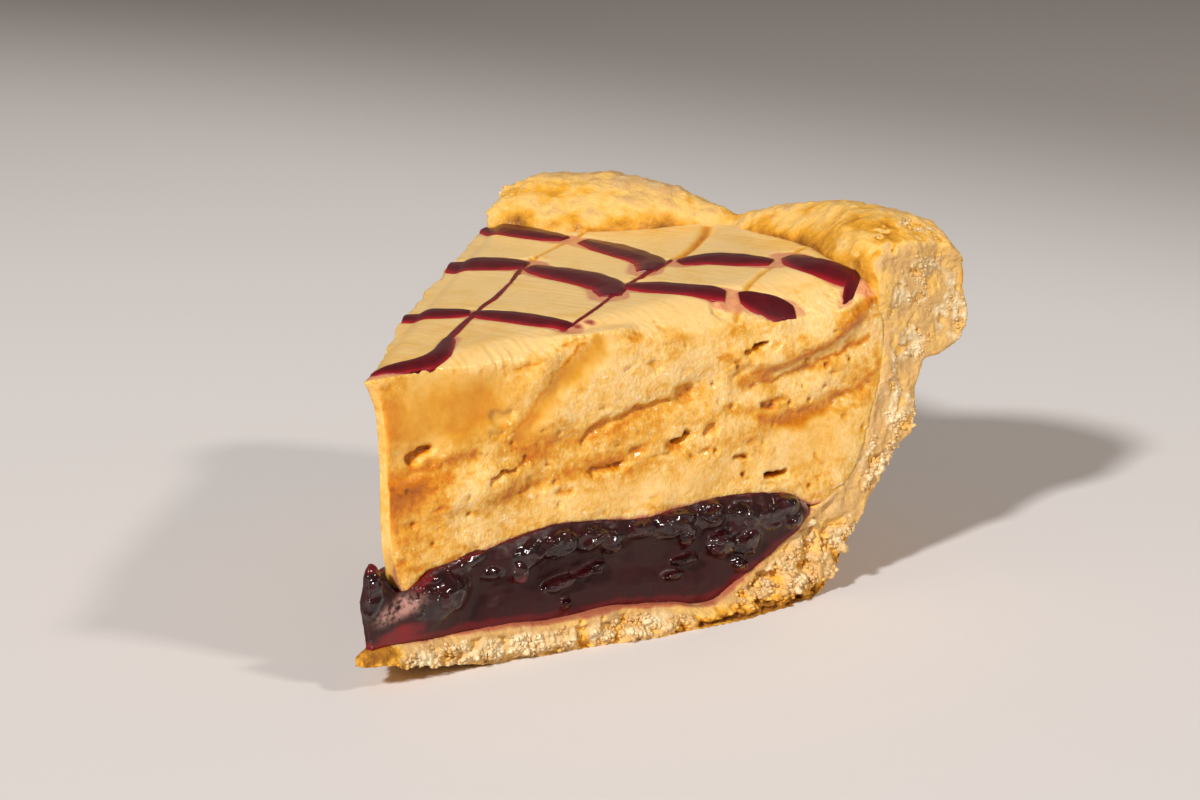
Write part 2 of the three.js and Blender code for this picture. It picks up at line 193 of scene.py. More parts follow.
@dataclass(frozen=True)
class Wedge:
    """The sizes that the source of the solids draws the slice from, in millimetres."""

    half_angle: float = math.radians(22.5)
    middle: Place = (61.2, -0.1, 0.0)
    tip_height: float = 51.5
    top_slope: float = 0.056
    crust_top: Line = ((0, 7.2), (12, 7), (25, 6.6), (36, 5.6), (48, 5.8), (60, 4.4), (68, 3.1),
                       (76, 6.6), (84, 10.8), (90.4, 15.9))
    jelly_top: Line = ((2, 20.2), (4.6, 19.8), (7.6, 15.4), (9.6, 16), (13, 18.4), (23, 20.2),
                       (36, 22), (54, 20.4), (66, 21.3), (82, 20.3), (86, 19.2), (90.4, 17))
    inner_wall: Line = ((15.9, 90.4), (19, 96.2), (24.5, 100.4), (32, 103.2), (38, 105.4),
                        (46, 105.8), (52, 104.6), (58, 104.6))
    shoulder_drop: Line = ((0, 0.2), (12, 1), (26, 2.4), (42, 3), (58, 4), (72, 5), (88, 5.8), (104, 5))
    shoulder_width: Line = ((0, 1.5), (12, 3), (26, 6), (42, 6.5), (58, 7.5), (72, 9), (88, 11), (104, 10))
    far_edge: tuple[float, float] = (0.8, 2.5)
    turn_up: float = 91.0
    turn_height: float = 15.9
    rim_radius: float = 125.0

    def from_row(self, metres: np.ndarray) -> np.ndarray:
        """Millimetres from the tip for points of the row frame."""
        return metres / MM + np.array(self.middle)

    def to_row(self, points: np.ndarray) -> np.ndarray:
        """Points of the row frame for millimetres from the tip."""
        return (points - np.array(self.middle)) * MM

    def outward(self, cut: Cut) -> np.ndarray:
        """The way that a cut faces."""
        return np.array([-math.sin(self.half_angle), cut.value * math.cos(self.half_angle), 0.0])

    def along(self, points: np.ndarray, cut: Cut) -> np.ndarray:
        """How far points lie from the tip, along a cut."""
        run = math.cos(self.half_angle), cut.value * math.sin(self.half_angle)
        return points[:, 0] * run[0] + points[:, 1] * run[1]

    def inside(self, points: np.ndarray, cut: Cut) -> np.ndarray:
        """How far points lie inside a cut."""
        return -(points @ self.outward(cut))

    def margin(self, points: np.ndarray) -> np.ndarray:
        """How far points lie inside the nearer of the two cuts."""
        return np.minimum(self.inside(points, Cut.NEAR), self.inside(points, Cut.FAR))

    def floor(self, along: np.ndarray) -> np.ndarray:
        """Height of the crust under the jelly."""
        return np.interp(along, *np.array(self.crust_top).T)

    def roof(self, along: np.ndarray) -> np.ndarray:
        """Height of the top of the jelly."""
        return np.interp(along, *np.array(self.jelly_top).T)

    def wall(self, height: np.ndarray) -> np.ndarray:
        """Radius of the crust's inner face at a height."""
        return np.interp(height, *np.array(self.inner_wall).T)

    def drawn_top(self, x: np.ndarray, y: np.ndarray) -> np.ndarray:
        """The top of the filling as it is drawn, with its worn shoulder along the near cut.

        Args:
            x: Distance from the tip toward the rim.
            y: Distance to the side.

        Returns:
            Heights, in millimetres.
        """
        radius = np.hypot(x, y)
        points = np.c_[x, y, 0 * x]
        width = np.interp(radius, *np.array(self.shoulder_width).T)
        near = np.clip(1 - self.inside(points, Cut.NEAR) / width, 0, 1)
        far = np.clip(1 - self.inside(points, Cut.FAR) / self.far_edge[1], 0, 1)
        drop = np.interp(radius, *np.array(self.shoulder_drop).T)
        return (self.tip_height + self.top_slope * x - drop * near**2
                - self.far_edge[0] * far**2)


@dataclass(frozen=True)
class Mark:
    """A knife mark, fold, streak or hole on a cut or on the top.

    The rise stands out of the surface and the lip raises its left side over its right one. The
    warmth is how much the place is caramel rather than cream, and in deep holes partly painted shade.
    """

    line: Line
    width: float
    rise: float = 0.0
    lip: float = 0.0
    warmth: float = 0.0
    hard: float = 2.0

    def read(self, x: np.ndarray, y: np.ndarray) -> tuple[np.ndarray, np.ndarray]:
        """How much of the mark is felt at points, and its relief there.

        Args:
            x: First coordinate of each point.
            y: Second coordinate of each point.

        Returns:
            The share of the mark, from 0 to 1, and its relief in millimetres.
        """
        away, side = to_line(x, y, self.line)
        share = bell(away, self.width, self.hard)
        relief = self.rise * share
        if self.lip:
            relief = relief + self.lip * np.tanh(2.5 * side / self.width) * bell(away, 2.2 * self.width)
        return share, relief


# ---- Modelling by hand -------------------------------------------------------------------------


def take(piece: bpy.types.Object) -> bpy.types.Object:
    """Selects one object alone and makes it the active one.

    Args:
        piece: The object.

    Returns:
        The same object.
    """
    bpy.ops.object.select_all(action="DESELECT")
    piece.select_set(True)
    bpy.context.view_layer.objects.active = piece
    return piece


def fresh(name: str) -> bpy.types.Object:
    """Names the primitive that was just added, and its mesh.

    Args:
        name: The name that it gets.

    Returns:
        The object.
    """
    piece = bpy.context.active_object
    piece.name = piece.data.name = name
    return piece


@contextmanager
def edited(piece: bpy.types.Object) -> Iterator[None]:
    """Opens a piece in edit mode, all of it selected, for the lines that stand under this.

    Args:
        piece: The piece to work on.

    Yields:
        Nothing. The piece is closed again afterwards.
    """
    take(piece)
    bpy.ops.object.mode_set(mode="EDIT")
    bpy.ops.mesh.select_all(action="SELECT")
    yield
    bpy.ops.object.mode_set(mode="OBJECT")


def points_of(piece: bpy.types.Object) -> np.ndarray:
    """The points of a piece's mesh, in its own units.

    Args:
        piece: The piece to read.

    Returns:
        One row for each point.
    """
    flat = np.empty(3 * len(piece.data.vertices))
    piece.data.vertices.foreach_get("co", flat)
    return flat.reshape(-1, 3)


def set_points(piece: bpy.types.Object, points: np.ndarray) -> None:
    """Moves the points of a piece's mesh."""
    piece.data.vertices.foreach_set("co", points.ravel())
    piece.data.update()


def dress(piece: bpy.types.Object, finish: bpy.types.Material) -> None:
    """Gives a piece its material and smooth shading.

    Args:
        piece: The piece, with no material yet.
        finish: The material.
    """
    piece.data.materials.append(finish)
    take(piece)
    bpy.ops.object.shade_smooth()


def finish_with(piece: bpy.types.Object, kind: str, **settings: object) -> None:
    """Adds a modifier to a piece and applies it.

    Args:
        piece: The piece to change.
        kind: Blender's name for the kind of modifier.
        settings: The modifier's own settings.
    """
    take(piece)
    modifier = piece.modifiers.new(kind.title(), kind)
    for name, value in settings.items():
        setattr(modifier, name, value)
    bpy.ops.object.modifier_apply(modifier=modifier.name)


def copy_of_solid(node: str, name: str) -> bpy.types.Object:
    """A copy of a CAD solid with its loose triangles merged.

    Args:
        node: Name of the solid.
        name: Name of the copy.

    Returns:
        The copy.
    """
    piece = bpy.data.objects.new(name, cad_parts[node].data.copy())
    bpy.context.scene.collection.objects.link(piece)
    piece.data.name = name
    piece.data.materials.clear()
    with edited(piece):
        bpy.ops.mesh.remove_doubles(threshold=1e-6)
        bpy.ops.mesh.customdata_custom_splitnormals_clear()
    return piece


def melt(piece: bpy.types.Object, grid: float, soften: int) -> None:
    """Remeshes a piece to one even closed skin and softens it.

    Args:
        piece: The piece, of one or more closed shells.
        grid: Size of the new faces, in millimetres.
        soften: How many times the skin is smoothed over.
    """
    finish_with(piece, "REMESH", mode="VOXEL", voxel_size=grid * MM)
    if soften:
        finish_with(piece, "SMOOTH", factor=0.5, iterations=soften)


def join(pieces: Sequence[bpy.types.Object], name: str) -> bpy.types.Object:
    """Joins several objects into the first one, under a new name.

    Args:
        pieces: The objects, of which the first stays.
        name: Its new name.

    Returns:
        That object.
    """
    take(pieces[0])
    for piece in pieces:
        piece.select_set(True)
    bpy.ops.object.join()
    return fresh(name)


class Clay:
    """The skin of one piece, moved and painted in numbers."""

    def __init__(self, piece: bpy.types.Object, wedge: Wedge) -> None:
        """Takes up a piece that stands in the row frame.

        Args:
            piece: The piece.
            wedge: The sizes of the slice.
        """
        self.piece = piece
        self.wedge = wedge
        self.take_up()

    def take_up(self) -> None:
        """Reads where the skin is and how it faces."""
        self.points = self.wedge.from_row(points_of(self.piece))
        self.look()

    def look(self) -> None:
        """Reads the way that the skin faces."""
        flat = np.empty(self.points.size, np.float32)
        self.piece.data.vertex_normals.foreach_get("vector", flat)
        self.normals = flat.reshape(-1, 3).astype(float)

    def put(self) -> None:
        """Writes the moved skin back to the piece."""
        set_points(self.piece, self.wedge.to_row(self.points))
        self.look()

    def facing(self, cut: Cut, low: float = 0.35, high: float = 0.75) -> np.ndarray:
        """How much of the skin belongs to a cut, from 0 to 1."""
        turned = ramp(low, high, self.normals @ self.wedge.outward(cut))
        return turned * (1 - ramp(5.0, 7.5, self.wedge.inside(self.points, cut)))

    def on_cut(self, cut: Cut) -> tuple[np.ndarray, np.ndarray]:
        """Distance from the tip along a cut, and height."""
        return self.wedge.along(self.points, cut), self.points[:, 2]

    def radius(self) -> np.ndarray:
        """Distance of the skin from the upright line through the tip."""
        return np.hypot(self.points[:, 0], self.points[:, 1])

    def push(self, way: np.ndarray, amount: np.ndarray) -> None:
        """Moves the skin one way, or each point its own way."""
        self.points = self.points + amount[:, None] * way

    def paint(self, **masks: np.ndarray) -> None:
        """Stores masks on the piece for its material.

        Args:
            masks: One value for each point, under each mask's name.
        """
        for name, mask in masks.items():
            layer = self.piece.data.attributes.new(name, "FLOAT", "POINT")
            layer.data.foreach_set("value", np.clip(mask, 0.0, 1.0).astype(np.float32))

    def read(self, name: str) -> np.ndarray:
        """Reads a mask back, after faces were taken away.

        Args:
            name: The mask's name.

        Returns:
            One value for each point.
        """
        values = np.empty(len(self.piece.data.vertices), np.float32)
        self.piece.data.attributes[name].data.foreach_get("value", values)
        return values.astype(float)

    def _choose(self, wanted: np.ndarray) -> None:
        """Selects points of the piece and leaves it in edit mode.

        Args:
            wanted: True for each point to select.
        """
        mesh = take(self.piece).data
        bpy.ops.object.mode_set(mode="EDIT")
        bpy.ops.mesh.select_mode(type="VERT")
        bpy.ops.mesh.select_all(action="DESELECT")
        bpy.ops.object.mode_set(mode="OBJECT")
        mesh.vertices.foreach_set("select", wanted)
        bpy.ops.object.mode_set(mode="EDIT")
        bpy.ops.mesh.select_mode(type="VERT")

    def refine(self, wanted: np.ndarray) -> None:
        """Splits each face between the wanted points into four.

        Args:
            wanted: True for each of those points.
        """
        self._choose(wanted)
        bpy.ops.mesh.subdivide(number_cuts=1)
        bpy.ops.object.mode_set(mode="OBJECT")
        self.take_up()

    def thin(self, hidden: np.ndarray, share: float) -> None:
        """Keeps only a share of the faces where nothing shows.

        Args:
            hidden: True for each point that can't be seen.
            share: How many of those faces stay.
        """
        self._choose(hidden)
        bpy.ops.mesh.decimate(ratio=share)
        bpy.ops.object.mode_set(mode="OBJECT")


# ---- Materials ---------------------------------------------------------------------------------


class Recipe:
    """Builds the nodes of one material or one group in reading order."""

    def __init__(self, tree: bpy.types.NodeTree) -> None:
        """Starts on an empty tree."""
        self.tree = tree
        self.place = 0

    def add(self, kind: str, **settings: object) -> bpy.types.Node:
        """Adds a node and sets its options.

        Args:
            kind: Blender's name for the kind of node.
            settings: The node's own options.

        Returns:
            The node.
        """
        node = self.tree.nodes.new(kind)
        node.location = (self.place % 8 * 220, -(self.place // 8) * 320)
        self.place += 1
        for name, value in settings.items():
            setattr(node, name, value)
        return node

    def set(self, socket: bpy.types.NodeSocket, value: object) -> None:
        """Links another node's socket, or stores a number or a colour.

        Args:
            socket: The input.
            value: A socket, a number or a colour.
        """
        if isinstance(value, bpy.types.NodeSocket):
            self.tree.links.new(value, socket)
        elif isinstance(value, tuple) and socket.type == "RGBA":
            socket.default_value = (*value, 1.0)
        else:
            socket.default_value = value

    def fill(self, node: bpy.types.Node, values: dict[str, object]) -> None:
        """Sets inputs of a node by their names.

        Args:
            node: The node.
            values: What each named input gets.
        """
        for name, value in values.items():
            self.set(node.inputs[name], value)

    def math(self, operation: str, *values: object, clamp: bool = False) -> bpy.types.NodeSocket:
        """One sum on numbers or masks.

        Args:
            operation: Blender's name for the sum.
            values: Numbers or sockets.
            clamp: Whether the result is held between 0 and 1.

        Returns:
            The node's output.
        """
        node = self.add("ShaderNodeMath", operation=operation, use_clamp=clamp)
        for socket, value in zip(node.inputs, values):
            self.set(socket, value)
        return node.outputs[0]

    def mask(self, name: str) -> bpy.types.NodeSocket:
        """A mask that was painted on the piece."""
        return self.add("ShaderNodeAttribute", attribute_name=name).outputs["Fac"]

    def where(self) -> bpy.types.NodeSocket:
        """Object coordinates, in metres."""
        return self.add("ShaderNodeTexCoord").outputs["Object"]

    def noise(self, size: float, detail: float = 2.0, rough: float = 0.5) -> bpy.types.NodeSocket:
        """Noise of a size in millimetres.

        Args:
            size: Size of the waves.
            detail: How many finer layers there are.
            rough: How strong the finer layers are.

        Returns:
            The node's output.
        """
        node = self.add("ShaderNodeTexNoise")
        self.fill(node, {"Vector": self.where(), "Scale": 1 / (size * MM)})
        self.fill(node, {"Detail": detail, "Roughness": rough})
        return node.outputs["Fac"]

    def uneven(self, size: float, detail: float, rough: float, amount: object) -> bpy.types.NodeSocket:
        """Noise about zero, by which a tone drifts."""
        return self.math("MULTIPLY", self.math("SUBTRACT", self.noise(size, detail, rough), 0.5), amount)

    def spread(self, value: object, low: float, high: float, start: float = 0.0,
               end: float = 1.0) -> bpy.types.NodeSocket:
        """Spreads low to high over start to end, smoothly and no further.

        Args:
            value: The mask to spread.
            low: Where it starts.
            high: Where it ends.
            start: Result at low.
            end: Result at high.

        Returns:
            The node's output.
        """
        node = self.add("ShaderNodeMapRange", interpolation_type="SMOOTHSTEP")
        for socket, item in zip(node.inputs, (value, low, high, start, end)):
            self.set(socket, item)
        return node.outputs["Result"]

    def blend(self, share: object, first: object, second: object) -> bpy.types.NodeSocket:
        """Blends two colours.

        Args:
            share: How much of the second colour there is.
            first: The first colour.
            second: The second colour.

        Returns:
            The node's output.
        """
        node = self.add("ShaderNodeMix", data_type="RGBA")
        for index, item in ((0, share), (6, first), (7, second)):
            self.set(node.inputs[index], item)
        return node.outputs[2]

    def shades(self, value: object, stops: Sequence[tuple[float, Colour]]) -> bpy.types.NodeSocket:
        """Turns a mask into colours along a scale.

        Args:
            value: The mask.
            stops: Places on the scale with their colours.

        Returns:
            The node's output.
        """
        node = self.add("ShaderNodeValToRGB")
        scale = node.color_ramp
        while len(scale.elements) < len(stops):
            scale.elements.new(0.5)
        for element, (at, colour) in zip(scale.elements, stops):
            element.position = at
            element.color = (*colour, 1.0)
        self.set(node.inputs["Fac"], value)
        return node.outputs["Color"]

    def bump(self, height: object, depth: float, strength: float = 1.0) -> bpy.types.NodeSocket:
        """A normal with relief of a depth in millimetres.

        Args:
            height: Height from 0 to 1.
            depth: Depth in millimetres.
            strength: How much of it is felt.

        Returns:
            The node's output.
        """
        node = self.add("ShaderNodeBump")
        self.fill(node, {"Strength": strength, "Distance": depth * MM, "Height": height})
        return node.outputs["Normal"]

    def effect(self, group: bpy.types.NodeTree, **values: object) -> bpy.types.NodeSocket:
        """Places a shared effect with its own values.

        Args:
            group: The shared effect.
            values: What each named input gets.

        Returns:
            The node's output.
        """
        node = self.add("ShaderNodeGroup", node_tree=group)
        self.fill(node, values)
        return node.outputs[0]


def new_material(name: str) -> tuple[bpy.types.Material, Recipe, bpy.types.Node]:
    """An empty material with its shader.

    Args:
        name: The material's name.

    Returns:
        The material, its recipe and its shader.
    """
    material = bpy.data.materials.new(name)
    material.use_nodes = True
    recipe = Recipe(material.node_tree)
    recipe.tree.nodes.clear()
    shader = recipe.add("ShaderNodeBsdfPrincipled")
    output = recipe.add("ShaderNodeOutputMaterial")
    recipe.tree.links.new(shader.outputs["BSDF"], output.inputs["Surface"])
    return material, recipe, shader


class Effects:
    """The effects that several finishes share, each a node group built once."""

    def __init__(self) -> None:
        """Builds the groups."""
        self.speckle = self._speckle()
        self.crumble = self._crumble()

    @staticmethod
    def _group(name: str, inputs: Sequence[tuple[str, float]], output: str) -> tuple[
            bpy.types.NodeTree, Recipe, bpy.types.bpy_prop_collection, bpy.types.NodeSocket]:
        """An empty group with number sockets.

        Args:
            name: The group's name.
            inputs: Name and first value of each input.
            output: The name of what it puts out.

        Returns:
            The group, its recipe, its inputs' sockets and its output's socket.
        """
        group = bpy.data.node_groups.new(name, "ShaderNodeTree")
        for label, value in inputs:
            socket = group.interface.new_socket(label, in_out="INPUT", socket_type="NodeSocketFloat")
            socket.default_value = value
        group.interface.new_socket(output, in_out="OUTPUT", socket_type="NodeSocketFloat")
        recipe = Recipe(group)
        entry = recipe.add("NodeGroupInput")
        leave = recipe.add("NodeGroupOutput")
        return group, recipe, entry.outputs, leave.inputs[0]

    def _speckle(self) -> bpy.types.NodeTree:
        """Small separate spots: frequency in spots per metre, and how many there are.

        Returns:
            The group.
        """
        group, recipe, into, out = self._group(
            "Speckle", (("Frequency", 600.0), ("Amount", 0.3), ("Edge", 0.1)), "Mask")
        cells = recipe.add("ShaderNodeTexVoronoi")
        recipe.fill(cells, {"Vector": recipe.where(), "Scale": into["Frequency"]})
        split = recipe.add("ShaderNodeSeparateColor")
        recipe.set(split.inputs[0], cells.outputs["Color"])
        reach = recipe.math("MULTIPLY", split.outputs[0], 0.45)
        reach = recipe.math("ADD", reach, recipe.math("SUBTRACT", into["Amount"], 0.45))
        inner = recipe.math("SUBTRACT", reach, into["Edge"])
        recipe.set(out, recipe.spread(cells.outputs["Distance"], inner, reach, 1.0, 0.0))
        return group

    def _crumble(self) -> bpy.types.NodeTree:
        """Height of a grainy surface: coarse lumps with fine grain on them.

        Returns:
            The group.
        """
        group, recipe, into, out = self._group(
            "Crumble", (("Coarse", 900.0), ("Fine", 2600.0), ("Fine share", 0.4)), "Height")
        heights = []
        for label, feature in (("Coarse", "SMOOTH_F1"), ("Fine", "F1")):
            cells = recipe.add("ShaderNodeTexVoronoi", feature=feature)
            recipe.fill(cells, {"Vector": recipe.where(), "Scale": into[label]})
            heights.append(recipe.math("SUBTRACT", 1.0, cells.outputs["Distance"]))
        fine = recipe.math("MULTIPLY", heights[1], into["Fine share"])
        recipe.set(out, recipe.math("ADD", heights[0], fine))
        return group


@dataclass(frozen=True)
class FillingFinish:
    """Whipped peanut butter filling: cream to caramel, wet, with light passing into it and with painted
    highlights as small white specks.
    """

    # white is the colour of the painted highlights, specks that stand in for glints on the wet cream.
    white: Colour = (0.99, 0.87, 0.64)
    pale: Colour = (0.93, 0.62, 0.24)
    cream: Colour = (0.86, 0.50, 0.115)
    golden: Colour = (0.75, 0.355, 0.026)
    orange: Colour = (0.64, 0.20, 0.001)
    caramel: Colour = (0.42, 0.11, 0.001)
    # The darkest stop, reached in the deepest holes and slits, is partly dark caramel and partly painted
    # shade.
    caramel_and_hole_shade: Colour = (0.10, 0.028, 0.004)
    stain: Colour = (0.25, 0.022, 0.018)
    blush: Colour = (0.70, 0.26, 0.13)
    relief: float = 0.28
    dry: float = 0.45
    wet: float = 0.22
    shine: float = 0.32
    coat: float = 0.28
    coat_roughness: float = 0.1
    glow: float = 0.45
    glow_reach: Colour = (0.9, 0.42, 0.14)
    glow_depth: float = 2.2

    def make(self) -> bpy.types.Material:
        """Builds the material, which reads the masks warmth, stain, wet and torn.

        Returns:
            The material.
        """
        material, r, shader = new_material("whipped_filling")
        torn = r.mask("torn")
        scaly = r.spread(torn, 0.0, 1.0, 0.12, 1.0)
        grain = r.math("MULTIPLY", r.noise(0.7, 3.0, 0.55), scaly)
        broad = r.uneven(4.5, 5.0, 0.65, 0.55)
        fine = r.uneven(1.3, 3.0, 0.6, r.math("MULTIPLY", scaly, -0.8))
        warmth = r.math("ADD", r.math("ADD", r.mask("warmth"), broad), fine, clamp=True)
        colour = r.shades(warmth, ((0.0, self.pale), (0.2, self.cream), (0.4, self.golden),
                                   (0.62, self.orange), (0.84, self.caramel), (1.0, self.caramel_and_hole_shade)))
        # Painted highlights: white specks in clusters on the torn places, fewer on caramel, stand in for
        # glints.
        cluster = r.spread(r.noise(3.6, 3.0), 0.42, 0.62, 0.12, 1.0)
        painted_glint = r.spread(r.noise(0.6, 3.0, 0.6), 0.60, 0.70)
        painted_glint = r.math("MULTIPLY", painted_glint, r.spread(torn, 0.1, 1.0, 0.05, 0.9))
        painted_glint = r.math("MULTIPLY", painted_glint, cluster)
        painted_glint = r.math("MULTIPLY", painted_glint, r.spread(warmth, 0.28, 0.6, 1.0, 0.15))
        colour = r.blend(painted_glint, colour, self.white)
        edge = r.math("MULTIPLY", r.mask("stain"), r.spread(r.noise(1.6, 3.0), 0.25, 0.6, 0.7, 1.0))
        colour = r.blend(r.spread(edge, 0.02, 0.5), colour, self.blush)
        colour = r.blend(r.spread(edge, 0.4, 0.95), colour, self.stain)
        r.fill(shader, {
            "Base Color": colour,
            "Roughness": r.spread(r.mask("wet"), 0.0, 1.0, self.dry, self.wet),
            "Normal": r.bump(grain, self.relief),
            "Subsurface Weight": self.glow,
            "Subsurface Radius": self.glow_reach,
            "Subsurface Scale": self.glow_depth * MM,
            "Specular IOR Level": self.shine,
            "Coat Weight": self.coat,
            "Coat Roughness": self.coat_roughness,
        })
        return material


@dataclass(frozen=True)
class JellyFinish:
    """Dark fruit jelly: glossy on the berries, dull between them, crimson where it is thin."""

    name: str = "jelly"
    deep: Colour = (0.010, 0.0008, 0.0013)
    wine: Colour = (0.050, 0.002, 0.0035)
    crimson: Colour = (0.30, 0.006, 0.010)
    flat: Colour = (0.036, 0.0085, 0.0085)
    cream: Colour = (0.52, 0.27, 0.22)
    wrinkle: float = 0.6
    roughness: float = 0.15
    matt: float = 0.40
    coat: float = 0.7
    coat_roughness: float = 0.08
    bending: float = 1.34
    light: float = 0.08
    light_reach: Colour = (1.0, 0.08, 0.06)
    light_depth: float = 1.5

    def make(self) -> bpy.types.Material:
        """Builds the material, which reads the masks thin, smear, dull and crinkle.

        Returns:
            The material.
        """
        material, r, shader = new_material(self.name)
        thin = r.math("ADD", r.mask("thin"), r.uneven(2.8, 2.0, 0.5, 0.6), clamp=True)
        colour = r.shades(thin, ((0.0, self.deep), (0.4, self.wine), (1.0, self.crimson)))
        dull = r.mask("dull")
        colour = r.blend(r.math("MULTIPLY", dull, 0.8), colour, self.flat)
        smear = r.math("MULTIPLY", r.mask("smear"), r.spread(r.noise(1.0, 3.0), 0.32, 0.6))
        matt = r.math("MAXIMUM", dull, r.math("MULTIPLY", smear, 0.7))
        fold = r.math("ABSOLUTE", r.math("SUBTRACT", r.noise(3.4, 1.0, 0.5), 0.5))
        fold = r.math("SUBTRACT", 1.0, r.math("MULTIPLY", fold, 11.0), clamp=True)
        fold = r.math("MULTIPLY", fold, r.mask("crinkle"))
        height = r.math("ADD", fold, r.math("MULTIPLY", r.noise(1.8, 1.0), 0.3))
        r.fill(shader, {
            "Base Color": r.blend(smear, colour, self.cream),
            "Roughness": r.spread(matt, 0.0, 1.0, self.roughness, self.matt),
            "Coat Weight": r.spread(matt, 0.0, 1.0, self.coat, 0.0),
            "Coat Roughness": self.coat_roughness,
            "Normal": r.bump(height, self.wrinkle),
            "IOR": self.bending,
            "Subsurface Weight": self.light,
            "Subsurface Radius": self.light_reach,
            "Subsurface Scale": self.light_depth * MM,
        })
        return material


@dataclass(frozen=True)
class CrustFinish:
    """Short pastry: pale crumb where it is cut, golden skin where it was baked, darker where shade is painted
    into the crumb.
    """

    name: str = "pastry"
    white: Colour = (0.86, 0.70, 0.44)
    crumb: Colour = (0.74, 0.52, 0.25)
    tan: Colour = (0.63, 0.375, 0.14)
    light: Colour = (0.84, 0.52, 0.15)
    gold: Colour = (0.76, 0.36, 0.030)
    amber: Colour = (0.46, 0.19, 0.016)
    brown: Colour = (0.22, 0.08, 0.009)
    soak: Colour = (0.40, 0.07, 0.04)
    dry: float = 0.85
    baked: float = 0.32
    relief: float = 0.18
    shine: float = 0.25
    glow: float = 0.08
    glow_reach: Colour = (0.6, 0.5, 0.4)
    glow_depth: float = 0.7

    def make(self, effects: Effects) -> bpy.types.Material:
        """Builds the material, which reads the masks for the baked tone, which also carries painted shade,
        the soak and the sheen.

        Args:
            effects: The shared node groups.

        Returns:
            The material.
        """
        material, r, shader = new_material(self.name)
        bake = r.math("ADD", r.mask("bake"), r.uneven(2.8, 5.0, 0.65, 0.5))
        spots = r.effect(effects.speckle, Frequency=1100.0, Amount=0.40, Edge=0.2)
        bake = r.math("SUBTRACT", bake, r.math("MULTIPLY", spots, 0.1), clamp=True)
        colour = r.shades(bake, ((0.0, self.white), (0.18, self.crumb), (0.36, self.tan), (0.52, self.light),
                                 (0.7, self.gold), (0.86, self.amber), (1.0, self.brown)))
        height = r.effect(effects.crumble, Coarse=1400.0, Fine=3300.0)
        r.fill(shader, {
            "Base Color": r.blend(r.spread(r.mask("soak"), 0.05, 1.0, 0.0, 0.85), colour, self.soak),
            "Roughness": r.spread(r.mask("sheen"), 0.0, 1.0, self.dry, self.baked),
            "Normal": r.bump(height, self.relief, 0.8),
            "Specular IOR Level": self.shine,
            "Subsurface Weight": self.glow,
            "Subsurface Radius": self.glow_reach,
            "Subsurface Scale": self.glow_depth * MM,
        })
        return material


@dataclass(frozen=True)
class FloorFinish:
    """The plain pale table, with painted shade over its far part."""

    colour: Colour = (0.79, 0.76, 0.745)
    far: Colour = (0.44, 0.41, 0.39)
    roughness: float = 0.7

    def make(self) -> bpy.types.Material:
        """Builds the material.

        Returns:
            The material.
        """
        material, r, shader = new_material("pale_table")
        split = r.add("ShaderNodeSeparateXYZ")
        r.set(split.inputs[0], r.where())
        # Painted shade: the table turns darker toward the back.
        away = r.math("SUBTRACT", split.outputs[0], r.math("MULTIPLY", split.outputs[1], 0.25))
        colour = r.blend(r.spread(away, 0.24, 0.56), self.colour, self.far)
        r.fill(shader, {"Base Color": colour, "Roughness": self.roughness})
        return material


# ---- The filling -------------------------------------------------------------------------------

# The middle and the width of each stripe of jam, in millimetres from the tip.
STRIPES: tuple[tuple[Line, float], ...] = (
    (((94.5, 41), (92.6, 34.2), (91.8, 28.6), (91.4, 21.5)), 7.0),
    (((91.5, 17.5), (88.6, 9.4), (85.4, 2.6), (82.6, -1.8), (76.5, -4.8)), 6.8),
    (((85, -6.5), (89.2, -10), (90.6, -14.4), (92, -21)), 7.4),
    (((97, -22), (94, -27), (94.4, -32.4), (96, -35.5)), 7.4),
    (((67.5, 31.5), (67.8, 26), (69.9, 21.3), (71.5, 16.6)), 8.4),
    (((70.5, 15), (69, 10.9), (68, 4.7), (66.8, 0), (64.5, -4.5), (59.5, -8)), 7.4),
    (((66, -7.5), (67.6, -12.9), (68.6, -17.8), (71.5, -23.6)), 6.8),
    (((73.4, -25.2), (76.4, -28.8), (80.2, -32.3)), 5.0),
    (((33.5, 18.3), (36.5, 12), (39.6, 7)), 5.6),
    (((39.6, 6.4), (40.2, 0), (40.2, -6), (40.6, -12)), 5.4),
    (((3.2, 0.6), (7.2, -1), (11.5, -2.8), (16.5, -2.8), (25, 1)), 3.6),
    (((99, -34.2), (95, -35.6), (91.6, -36.6), (89, -37.4)), 2.4),
)


class TopSurface:
    """The level of the filling's top, read from its solid between the stripes of jam."""

    def __init__(self, wedge: Wedge) -> None:
        """Takes the solid's own points on the top.

        Args:
            wedge: The sizes of the slice.
        """
        self.wedge = wedge
        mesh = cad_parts["peanut_butter_filling"].data
        points = wedge.from_row(np.array([v.co for v in mesh.vertices], float))
        points = np.unique(np.round(points, 3), axis=0)
        left = points[:, 2] - wedge.drawn_top(points[:, 0], points[:, 1])
        keep = np.abs(left) < 0.6
        for line, width in STRIPES:
            keep &= to_line(points[:, 0], points[:, 1], line)[0] > 0.5 * width + 1.2
        self.points = points[keep, :2]
        self.left = left[keep]

    def height(self, x: np.ndarray, y: np.ndarray) -> np.ndarray:
        """Height of the top over points, in millimetres.

        Args:
            x: Distance from the tip toward the rim.
            y: Distance to the side.

        Returns:
            Heights, in millimetres.
        """
        level = np.empty(len(x))
        for start in range(0, len(x), 8000):
            part = slice(start, start + 8000)
            away = (x[part, None] - self.points[:, 0]) ** 2 + (y[part, None] - self.points[:, 1]) ** 2
            share = np.exp(-away / (2 * 3.0**2)) + 1e-9 / (away + 1.0)
            level[part] = (share * self.left).sum(1) / share.sum(1)
        return level + self.wedge.drawn_top(x, y)


